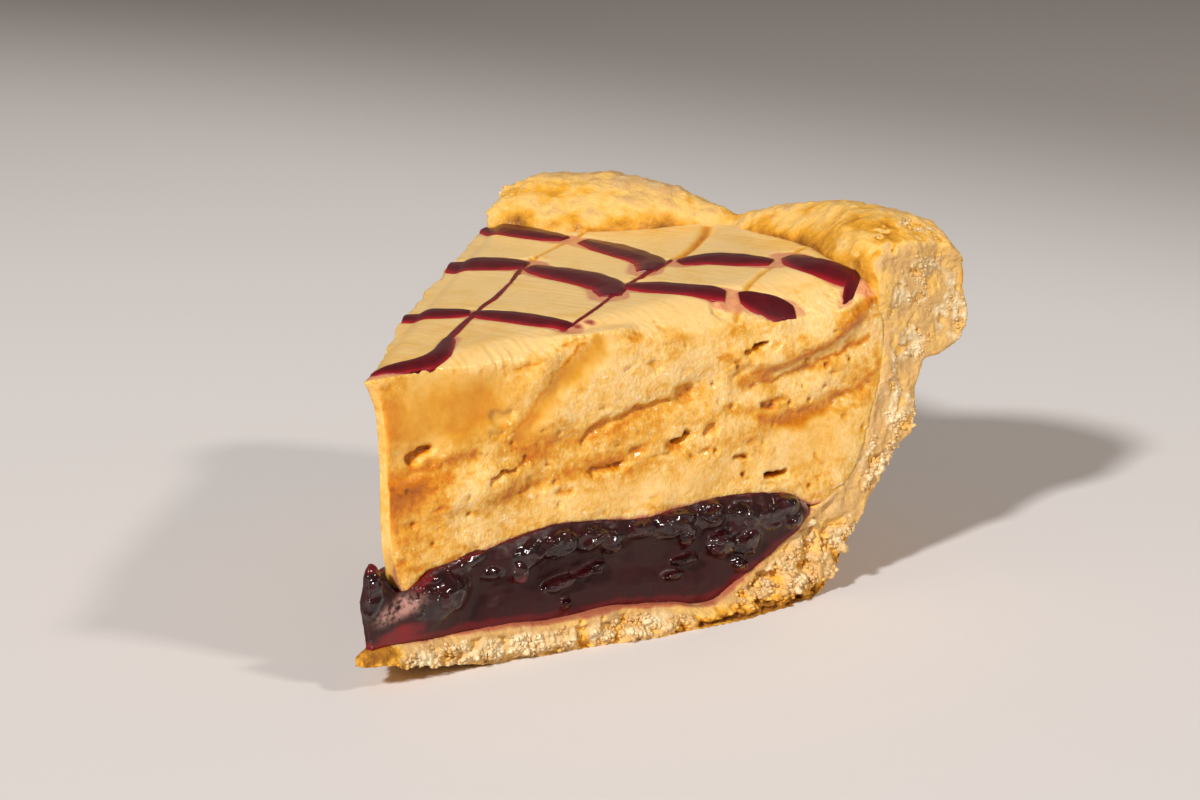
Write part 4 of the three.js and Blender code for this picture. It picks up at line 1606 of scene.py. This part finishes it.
@dataclass
class Jelly:
    """The layer of jelly, with the berries that bulge from its cuts."""

    wedge: Wedge
    grid: float = 0.32
    hidden_share: float = 0.04
    hidden_from: float = 4.0
    far_berries: int = 18
    crease_depth: float = 0.6
    grain: Grain = field(default_factory=lambda: Grain(37))
    far: list[Berry] = field(default_factory=list)

    def build(self, finish: bpy.types.Material) -> bpy.types.Object:
        """Models and dresses the jelly.

        Args:
            finish: The jelly's material.

        Returns:
            The piece, in place of its solid.
        """
        layer = copy_of_solid("jelly_layer", "jelly")
        self._close(Clay(layer, self.wedge))
        berries = [self._berry(berry, Cut.NEAR, i) for i, berry in enumerate(NEAR_BERRIES)]
        draw = np.random.RandomState(5)
        for i in range(self.far_berries):
            along = 6 + 4.7 * i + draw.uniform(-1, 1)
            low, high = self._span(along)
            if high - low > 5:
                height = draw.uniform(low + 2.6, high - 2.4)
                spans = (2.2, 4.2), (1.6, 2.8), (0.3, 1.1)
                berry = Berry(along, height, *(draw.uniform(*span) for span in spans))
                self.far.append(berry)
                berries.append(self._berry(berry, Cut.FAR, 40 + i))
        piece = join([layer, *berries], "jelly")
        melt(piece, self.grid, 6)
        clay = Clay(piece, self.wedge)
        self._wrinkle(clay)
        self._colour(clay)
        hidden = (self.wedge.margin(clay.points) > self.hidden_from) & (clay.radius() > 12)
        clay.thin(hidden, self.hidden_share)
        dress(piece, finish)
        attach(piece, "root")
        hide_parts("jelly_layer")
        return piece

    def _close(self, clay: Clay) -> None:
        """Lays the layer close to the crust under it and the filling above.

        Args:
            clay: The skin of the piece.
        """
        down, up = ramp(0.2, 0.6, -clay.normals[:, 2]), ramp(0.2, 0.6, clay.normals[:, 2])
        clay.points[:, 2] -= 0.2 * up + 0.8 * down
        along, z = clay.on_cut(Cut.NEAR)
        behind = bell(along - 5.2, 2.6, 4) * ramp(13.5, 15.5, z) * clay.facing(Cut.NEAR, 0.1, 0.5)
        clay.push(self.wedge.outward(Cut.NEAR), -1.6 * behind)
        clay.put()

    def _span(self, along: float) -> tuple[float, float]:
        """Floor and ceiling of the layer at a distance from the tip."""
        return float(self.wedge.floor(along)) + 0.5, float(self.wedge.roof(along))

    def _berry(self, berry: Berry, cut: Cut, turn: int) -> bpy.types.Object:
        """One uneven berry, sunk into the cut.

        Args:
            berry: Its place and size.
            cut: The cut that it bulges from.
            turn: Number that makes it unlike the others.

        Returns:
            The berry.
        """
        bpy.ops.object.select_all(action="DESELECT")
        bpy.ops.mesh.primitive_uv_sphere_add(segments=28, ring_count=18, radius=1)
        piece = fresh("berry")
        ball = points_of(piece)
        ball = ball * (1 + 0.12 * self.grain.waves(ball + 9.7 * turn, 1.1))[:, None]
        lean = math.radians(berry.lean)
        deep = 0.8 * min(berry.long, berry.tall) + 0.4
        across = ball[:, 0] * berry.long * math.cos(lean) - ball[:, 2] * berry.tall * math.sin(lean)
        up = ball[:, 0] * berry.long * math.sin(lean) + ball[:, 2] * berry.tall * math.cos(lean)
        outward = self.wedge.outward(cut)
        run = np.array([math.cos(self.wedge.half_angle), cut.value * math.sin(self.wedge.half_angle), 0.0])
        wide = 2.6 * float(ramp(6, 38, np.array([berry.along]))[0]) if cut is Cut.FAR else 0.0
        out = ball[:, 1] * deep + berry.out + 0.35 - 0.55 * deep + wide
        points = (run * (berry.along + across)[:, None] + outward * out[:, None]
                  + np.array([0, 0, 1.0]) * (berry.height + up)[:, None])
        set_points(piece, self.wedge.to_row(points))
        with edited(piece):
            bpy.ops.mesh.normals_make_consistent(inside=False)
        return piece

    def _lively(self, clay: Clay, cut: Cut) -> np.ndarray:
        """How wrinkled the skin is: the berries are, the smooth runs between them aren't.

        Args:
            clay: The skin of the piece.
            cut: The cut.

        Returns:
            A share from 0 to 1 for each point.
        """
        along, z = clay.on_cut(cut)
        lively = np.zeros(len(z))
        for berry in NEAR_BERRIES if cut is Cut.NEAR else self.far:
            patch = Patch(berry.along, berry.height, berry.long, berry.tall, 0.0, berry.lean)
            lively = np.maximum(lively, berry.crinkle * patch.share(along, z, 6))
        return lively * clay.facing(cut, 0.0, 0.3)

    def _wrinkle(self, clay: Clay) -> None:
        """Draws wrinkles, runs and drips into the jelly's skin.

        Args:
            clay: The skin of the piece.
        """
        self.crinkle = np.zeros(len(clay.points))
        grain, points = self.grain, clay.points
        bend = 0.7 * np.stack([grain.waves(points + shift, 2.4) for shift in (0, 40, 80)], axis=1)
        crease = np.clip(1 - 2.8 * np.abs(grain.waves(points + bend + 4, (6.0, 6.0, 2.6))), 0, 1) ** 1.3
        small = np.clip(1 - 2.6 * np.abs(grain.waves(points + bend + 8, (1.7, 1.7, 1.2))), 0, 1) ** 1.3
        relief = np.zeros(len(points))
        for cut in Cut:
            face = clay.facing(cut, 0.1, 0.5)
            lively = self._lively(clay, cut)
            relief += face * (0.25 * grain.waves(points + 20, 6.0) - 0.3)
            relief += lively * (self.crease_depth * crease + 0.05 * small - 0.15)
            self.crinkle = np.maximum(self.crinkle, lively)
        clay.push(clay.normals, relief)
        clay.put()

    def _colour(self, clay: Clay) -> None:
        """Marks the crimson edges, the smears of cream and the dull runs.

        Args:
            clay: The skin of the piece.
        """
        along, z = clay.on_cut(Cut.NEAR)
        face = clay.facing(Cut.NEAR, 0.1, 0.5)
        wave = 0.5 * self.grain.waves(clay.points + 30, 3.0)
        floor, roof = self.wedge.floor(along) + 0.5 + wave, self.wedge.roof(along) + 0.5 * wave
        thin = 0.8 * (1 - ramp(0.0, 1.1, z - floor)) + 0.3 * (1 - ramp(1.0, 3.4, z - floor))
        thin = np.maximum(thin, 0.6 * (1 - ramp(0.1, 0.8, roof - z)))
        for patch, hard in ((Patch(5.5, 8.6, 5.5, 1.9, 0.95, 10), 4), (Patch(28.8, 13.6, 1.6, 1.6, 0.6), 3),
                            (Patch(62.8, 14.4, 1.4, 1.4, 0.5), 3)):
            thin = np.maximum(thin, patch.tone * patch.share(along, z, hard))
        thin = np.maximum(thin, 0.12)
        smear = 0.95 * face * Patch(5.0, 13.0, 4.6, 1.7, 0, 14).share(along, z, 4)
        corner = bell(to_line(along, z, ((86.6, 18.6), (88.6, 17), (90, 14.6)))[0], 0.6, 3)
        smear = np.maximum(smear, 0.8 * face * corner)
        far = clay.facing(Cut.FAR, 0.1, 0.5)
        dull = np.maximum(face, far) * (1 - ramp(0.1, 0.5, self.crinkle)) * 0.9
        dull *= 1 - 0.5 * Patch(5.5, 8.6, 6.5, 2.4, 0, 10).share(along, z, 4)
        clay.paint(thin=thin, smear=smear, dull=dull, crinkle=self.crinkle)


# ---- The crust ---------------------------------------------------------------------------------


@dataclass
class Crust:
    """The crust: crumbly where it is cut, baked to a golden skin elsewhere."""

    wedge: Wedge
    grid: float = 0.6
    hidden_share: float = 0.03
    hidden_from: float = 4.5
    crumb_size: float = 1.9
    grain_size: float = 0.95
    terrace_depth: float = 2.0
    pit_depth: float = 0.8
    undercut: float = 0.8
    worn_edge: float = 0.9
    grain: Grain = field(default_factory=lambda: Grain(53))

    def build(self, finish: bpy.types.Material) -> bpy.types.Object:
        """Models and dresses the crust.

        Args:
            finish: The crust's material.

        Returns:
            The piece, in place of its solid.
        """
        piece = copy_of_solid("crust", "pie_crust")
        melt(piece, self.grid, 4)
        clay = Clay(piece, self.wedge)
        self._slope_ledge(clay)
        clay.refine(np.maximum(*(clay.facing(cut, 0.1, 0.4) for cut in Cut)) > 0.3)
        count = len(clay.points)
        self.bake = np.full(count, 0.6)
        self.soak = np.zeros(count)
        self.sheen = np.full(count, 0.25)
        self.loose = np.zeros(count)
        self._bake_skin(clay)
        for cut in Cut:
            self._crumble(clay, cut)
        clay.put()
        clay.paint(bake=self.bake, soak=self.soak, sheen=self.sheen, loose=self.loose)
        clay.thin(self._hidden(clay), self.hidden_share)
        dress(piece, finish)
        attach(piece, "root")
        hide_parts("crust")
        return piece

    def _slope_ledge(self, clay: Clay) -> None:
        """Slopes the base where it swells out under the jelly, so that no flat ledge is left.

        Args:
            clay: The skin of the piece.
        """
        along, z = clay.on_cut(Cut.NEAR)
        out = np.clip(-self.wedge.inside(clay.points, Cut.NEAR), 0, None)
        share = ramp(0.8, 4.2, z) * (z < 9) * ramp(44, 50, along) * (1 - ramp(80, 86, along))
        clay.push(self.wedge.outward(Cut.NEAR), -0.85 * out * share)
        clay.put()

    def _bake_skin(self, clay: Clay) -> None:
        """Gives the baked skin its lumps and browned patches, and browns the tip partly as painted shade.

        Args:
            clay: The skin of the piece.
        """
        points, grain, radius = clay.points, self.grain, clay.radius()
        x, y, z = points.T
        rim = ramp(50, 57, z)
        skin = 1 - np.maximum(clay.facing(Cut.NEAR), clay.facing(Cut.FAR))
        lumps = grain.layers(points + 9, 4.2, 3)
        flakes = grain.layers(points, 7.0, 3)
        relief = 0.25 * flakes * (1 - rim) + rim * (0.42 * lumps + 0.2 * grain.waves(points + 70, 1.3))
        free = ramp(-0.9, -0.6, clay.normals[:, 2]) * ramp(0.5, 3, z) * (0.4 + 0.6 * skin)
        clay.push(clay.normals, relief * free)
        patch = grain.layers(points + 50, 8.0, 3)
        self.bake = 0.66 + 0.14 * patch - rim * (0.14 + 0.14 * lumps) + 0.12 * ramp(114, 125, radius) * rim
        # The tip is browner, partly baked and partly painted shade.
        self.bake += 0.26 * (1 - ramp(5, 9, radius))
        self.bake += 0.16 * Patch(98, 34, 14, 7, 0, 20).share(x, y) * rim
        self.bake += 0.22 * (1 - ramp(56.5, 60.5, z)) * rim * (radius < 112)
        self.bake -= 0.12 * ramp(59, 63, z) * ramp(5, 15, y)
        self.bake += 0.18 * bell(radius - 108, 3.5) * rim - 0.05 * rim * ramp(-5, 20, y)
        self.bake += 0.14 * (1 - ramp(2, 14, z)) * ramp(60, 90, radius)
        self.sheen = 0.45 + 0.3 * patch + 0.2 * rim
        spot = bell(np.hypot((x - 113) / 3.0, (y + 9) / 2.2), 1, 3)
        self.soak = np.maximum(self.soak, 0.6 * rim * spot * ramp(-0.3, 0.5, grain.waves(points, 2.0)))
        clay.put()

    def _crumble(self, clay: Clay, cut: Cut) -> None:
        """Breaks a cut into crumbs, less where the pastry is dense or soaked with jelly, with painted shade
        in its caves, pits, terraces, the gaps between crumbs and the recess along its lower edge.

        Args:
            clay: The skin of the piece.
            cut: The cut.
        """
        grain, points, wedge = self.grain, clay.points, self.wedge
        radius = clay.radius()
        face = clay.facing(cut, 0.25, 0.65)
        along, z = clay.on_cut(cut)
        low, base = z < wedge.turn_height, along < wedge.turn_up
        depth = np.where(low & base, wedge.floor(along) - z, 0.9 * (along - wedge.wall(z)))
        base = base | (z < 12)
        patchy = grain.waves(points + 91, (4.2, 4.2, 5.5)) + 0.3 * grain.waves(points + 92, 1.8)
        patchy = ramp(0.0, 0.3, patchy)
        calm = 1 - 0.55 * ramp(20, 30, z)
        loose = ramp(1.0, 2.2, depth + 0.5 * grain.waves(points + 66, 3.0)) * np.where(base, 1.0, patchy)
        big, _, own = grain.lumps(points, self.crumb_size)
        small, _, tint = grain.lumps(points + 31, self.grain_size)
        cave = ramp(0.1, 0.55, grain.waves(points + 15, 2.8))
        terrace = ramp(0.05, 0.4, grain.waves(points * np.array([1, 1, 1.7]) + 44, 4.6))
        terrace *= Patch(80, 6.5, 17, 7.0, 0, 30).share(along, z, 4) * ramp(1.5, 2.6, depth)
        relief = 0.2 * calm * grain.waves(points + 2, 6.0) + 0.09 * grain.layers(points + 3, 1.4, 2)
        lumps = 0.7 * calm * (0.45 - big) + 0.6 * (0.45 - small)
        relief += loose * calm * (lumps - 0.9 * cave + 0.25 * grain.waves(points + 5, 0.8))
        relief += (1 - loose) * (z > 15) * 0.1 * grain.waves(points + 5, 0.9)
        pits = bell(big, 0.13 + 0.12 * own, 3) * (own > 0.88) * (1 - loose)
        relief -= self.terrace_depth * terrace + self.pit_depth * pits
        under = (1 - ramp(0.5, 2.2, z - 0.5 * grain.waves(points + 21, 3.5))) * (along < 88)
        relief -= self.undercut * under
        relief += 0.5 * (along < 88) * (z < 6)
        # Loose crumbs are paler; painted shade darkens the caves among them.
        tone = 0.36 - loose * (0.28 + 0.2 * (tint - 0.5)) + 0.34 * cave * loose
        tone += 0.14 * grain.waves(points + 77, 5.0)
        tone += 0.03 * (z > 22) * (1 - loose)
        golden = (1 - ramp(1.5, 3.5, z - 0.6 * grain.waves(points + 61, 4.0))) * ramp(58, 68, along)
        # At the tip the golden band is partly baked skin and partly painted shade.
        golden = np.maximum(golden, 1.3 * (1 - ramp(3, 7, along)) * (z < 9))
        # Painted shade darkens the low part of the cut toward the wall.
        tone += 0.1 * ramp(56, 68, along) * (z < 13) + 0.42 * golden
        tone += 0.1 * ramp(0.1, 0.5, grain.waves(points + 19, 4.0)) * (z > 50)
        relief -= self.worn_edge * golden * (along > 30)
        # Painted shade in the terraces, the pits, the recess along the lower edge and the gaps between small
        # crumbs.
        tone += 0.28 * terrace + 0.35 * pits + 0.24 * under + 0.12 * ramp(0.3, 0.6, small) * loose
        tone += 0.25 * ramp(-3.0, -0.5, -np.abs(wedge.rim_radius - radius)) * (z > 50)
        self.bake = self.bake * (1 - face) + tone * face + 0.5 * face * (1 - face) * (z > 45)
        wide = self._soak_edge(clay, cut, face, depth)
        self.sheen = self.sheen * (1 - wide) + 0.12 * wide * (1 - loose)
        self.loose = np.maximum(self.loose, wide * loose * (1 - under) * (1 - 0.6 * golden))
        clay.push(wedge.outward(cut), relief * face)

    def _soak_edge(self, clay: Clay, cut: Cut, face: np.ndarray, depth: np.ndarray) -> np.ndarray:
        """Soaks the pastry with jelly where the two meet, also on the ledge beside a cut.

        Args:
            clay: The skin of the piece.
            cut: The cut.
            face: How much each point belongs to the cut.
            depth: Depth of each point in the pastry, from where it meets the layers.

        Returns:
            How much each point belongs to the cut or to the ledge.
        """
        along, z = clay.on_cut(cut)
        ledge = (1 - ramp(2.0, 3.5, self.wedge.inside(clay.points, cut))) * ramp(0.3, 0.6, clay.normals[:, 2])
        ledge *= (z < self.wedge.turn_height) * (along < 92) * (along > 4)
        self.bake = self.bake * (1 - ledge * (1 - face)) + 0.3 * ledge * (1 - face)
        wide = np.maximum(face, ledge)
        edge = 1 - ramp(0.1, 0.9, depth + 0.25 * self.grain.waves(clay.points + 12, 2.0))
        reach = ramp(4, 10, along) * (1 - ramp(88, 93, along)) * (z < 19)
        band = (1 - ramp(0.6, 2.0, depth)) * (0.16 + 0.16 * ramp(56, 72, along))
        self.soak = np.maximum(self.soak, reach * wide * np.maximum(0.9 * edge, band))
        return wide

    def _hidden(self, clay: Clay) -> np.ndarray:
        """True for the points under the layers and under the base.

        Args:
            clay: The skin of the piece.

        Returns:
            One answer for each point.
        """
        z, upward, radius = clay.points[:, 2], clay.normals[:, 2], clay.radius()
        inner = (z < 52) & (radius < self.wedge.wall(z) + 1.0) & (upward > -0.5) & (radius > 10)
        under = upward < -0.85
        return (self.wedge.margin(clay.points) > self.hidden_from) & (inner | under)


@dataclass
class Crumbs:
    """Loose crumbs that cling to the cuts of the crust, many copies of a few small lumps."""

    wedge: Wedge
    crust: bpy.types.Object
    count: int = 2400
    kinds: int = 6
    smallest: float = 0.16
    largest: float = 0.42
    seed: int = 71

    def build(self, finish: bpy.types.Material) -> bpy.types.Object:
        """Models the kinds of crumb and sets copies of them along the cuts.

        Args:
            finish: The crumbs' material.

        Returns:
            The piece with all the crumbs.
        """
        kinds = [self._crumb(i) for i in range(self.kinds)]
        clay = Clay(self.crust, self.wedge)
        draw = np.random.RandomState(self.seed)
        bake, loose = clay.read("bake"), clay.read("loose")
        z = clay.points[:, 2]
        cluster = ramp(-0.2, 0.5, Grain(5).waves(clay.points, 4.0))
        chance = loose * (0.1 + cluster) * (0.5 + 1.4 * (1 - ramp(1.5, 6.0, z))) * (z > 0.6)
        chosen = draw.choice(len(chance), self.count, replace=False, p=chance / chance.sum())
        points, faces, tones, start = [], [], [], 0
        for index in chosen:
            crumb, polygons = kinds[draw.randint(len(kinds))]
            size = draw.uniform(self.smallest, self.largest)
            size *= 1.7 if draw.rand() > 0.92 and z[index] < 22 else 1.0
            size *= 0.7 if z[index] > 30 else 1.0
            turn = Matrix.Rotation(draw.uniform(0, 2 * math.pi), 3, Vector(draw.normal(size=3)).normalized())
            shape = (crumb * size) @ np.array(turn)
            place = clay.points[index] + clay.normals[index] * size * draw.uniform(-0.2, 0.35)
            place[2] = max(place[2], -shape[:, 2].min() + 0.02)
            points.append(shape + place)
            faces.append(polygons + start)
            tones.append(np.full(len(crumb), bake[index] + draw.uniform(-0.12, 0.12)))
            start += len(crumb)
        mesh = bpy.data.meshes.new("crumbs")
        mesh.from_pydata(self.wedge.to_row(np.vstack(points)).tolist(), [], np.vstack(faces).tolist())
        piece = bpy.data.objects.new("crumbs", mesh)
        bpy.context.scene.collection.objects.link(piece)
        heap = Clay(piece, self.wedge)
        none = 0 * heap.points[:, 0]
        heap.paint(bake=np.concatenate(tones), soak=none, sheen=none)
        dress(piece, finish)
        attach(piece, "root")
        return piece

    def _crumb(self, kind: int) -> tuple[np.ndarray, np.ndarray]:
        """One kind of crumb, as points and triangles.

        Args:
            kind: Number that makes it unlike the other kinds.

        Returns:
            Its points and its triangles.
        """
        bpy.ops.object.select_all(action="DESELECT")
        bpy.ops.mesh.primitive_ico_sphere_add(subdivisions=2, radius=1)
        ball = fresh("crumb")
        shape = points_of(ball)
        shape = shape * (1 + 0.5 * Grain(90 + kind).waves(shape + 5 * kind, 0.7))[:, None]
        shape *= np.random.RandomState(kind).uniform(0.65, 1.35, 3)
        set_points(ball, shape)
        finish_with(ball, "DECIMATE", ratio=0.5)
        ball.data.calc_loop_triangles()
        points = np.array([v.co for v in ball.data.vertices], float)
        faces = np.array([t.vertices for t in ball.data.loop_triangles], int)
        bpy.data.objects.remove(ball)
        return points, faces


# ---- The studio --------------------------------------------------------------------------------


@dataclass
class Studio:
    """A pale table, one soft key light at the front left, soft fill and the camera."""

    eye: Place = (-0.4696, -0.2994, 0.1691)
    target: Place = (0.0390, 0.0196, 0.0250)
    lens: float = 100.0
    middle: Place = (0.0, 0.0, 0.03)
    toward_key: Place = (-0.8555, -0.0523, 0.515)
    key_distance: float = 6.0
    key_power: float = 1480.0
    key_size: float = 0.26
    key_cone: float = 18.8
    key_fade: float = 0.377
    key_colour: Colour = (1.0, 0.985, 0.98)
    aim: Place = (-0.96, -0.02, 0.0)
    fill_power: float = 48.0
    fill_size: tuple[float, float] = (0.5, 0.3)
    fill_place: Place = (0.0, -3.0, 2.5)
    fill_colour: Colour = (1.0, 0.92, 0.84)
    room: float = 0.2
    room_colour: Colour = (1.0, 0.90, 0.82)
    table_size: float = 9.0
    table_edge: tuple[float, float] = (0.4, 0.06)

    def build(self, finish: bpy.types.Material) -> None:
        """Sets up the table, the lights and the camera.

        Args:
            finish: The table's material.
        """
        self._table(finish)
        self._lights()
        self._camera()

    def _table(self, finish: bpy.types.Material) -> None:
        """A wide table top with its edge turned down.

        Args:
            finish: The table's material.
        """
        wide, deep = self.table_edge
        bpy.ops.object.select_all(action="DESELECT")
        bpy.ops.mesh.primitive_plane_add(size=self.table_size, location=(0, 0, 0))
        table = fresh("table")
        with edited(table):
            bpy.ops.mesh.inset(thickness=wide)
            bpy.ops.mesh.select_all(action="INVERT")
            bpy.ops.transform.translate(value=(0, 0, -deep))
            bpy.ops.mesh.subdivide(number_cuts=2)
        table.data.materials.append(finish)

    def _lights(self) -> None:
        """The key light, the fill above and the light of the room."""
        key = bpy.data.lights.new("key", "SPOT")
        key.energy = self.key_power
        key.shadow_soft_size = self.key_size
        key.spot_size = math.radians(self.key_cone)
        key.spot_blend = self.key_fade
        key.color = self.key_colour
        place = Vector(self.middle) + Vector(self.toward_key).normalized() * self.key_distance
        self._hang(key, place, self.aim)
        fill = bpy.data.lights.new("fill", "AREA")
        fill.energy = self.fill_power
        fill.shape = "RECTANGLE"
        fill.size, fill.size_y = self.fill_size
        fill.color = self.fill_colour
        self._hang(fill, Vector(self.fill_place), self.middle)
        world = bpy.data.worlds.new("room")
        world.use_nodes = True
        background = world.node_tree.nodes["Background"]
        background.inputs["Color"].default_value = (*self.room_colour, 1.0)
        background.inputs["Strength"].default_value = self.room
        bpy.context.scene.world = world

    @staticmethod
    def _hang(light: bpy.types.Light, place: Vector, aim: Place) -> None:
        """Hangs a light and turns it toward a point.

        Args:
            light: The light.
            place: Where it hangs.
            aim: The point it lights.
        """
        lamp = bpy.data.objects.new(light.name, light)
        lamp.location = place
        lamp.rotation_euler = (Vector(aim) - place).to_track_quat("-Z", "Y").to_euler()
        bpy.context.scene.collection.objects.link(lamp)

    def _camera(self) -> None:
        """The camera, at the place that the photograph was taken from."""
        camera = bpy.data.objects.new("camera", bpy.data.cameras.new("camera"))
        camera.data.lens = self.lens
        camera.data.sensor_width = 36.0
        camera.data.clip_start = 0.02
        camera.location = self.eye
        camera.rotation_euler = (Vector(self.target) - Vector(self.eye)).to_track_quat("-Z", "Y").to_euler()
        bpy.context.scene.collection.objects.link(camera)
        bpy.context.scene.camera = camera
        bpy.context.scene.view_settings.view_transform = "Standard"


def report(piece: bpy.types.Object) -> None:
    """Logs a piece with its size in triangles."""
    piece.data.calc_loop_triangles()
    log.info("%s: %d triangles", piece.name, len(piece.data.loop_triangles))


def main() -> None:
    """Builds the slice and its studio in order."""
    logging.basicConfig(level=logging.INFO, format="%(name)s %(message)s")
    wedge = Wedge()
    effects = Effects()
    pastry = CrustFinish().make(effects)
    top = TopSurface(wedge)
    crust = Crust(wedge).build(pastry)
    report(crust)
    report(Crumbs(wedge, crust).build(CrustFinish(name="crumb_pastry").make(effects)))
    report(Jelly(wedge).build(JellyFinish().make()))
    report(Filling(wedge, top).build(FillingFinish().make()))
    jam = JellyFinish(name="jam", deep=(0.085, 0.002, 0.006), wine=(0.17, 0.003, 0.009),
                      crimson=(0.40, 0.010, 0.018), wrinkle=0.1, roughness=0.3, light=0.25, coat=0.12)
    report(JamStripes(wedge, top).build(jam.make()))
    Studio().build(FloorFinish().make())


if __name__ == "__main__":
    main()
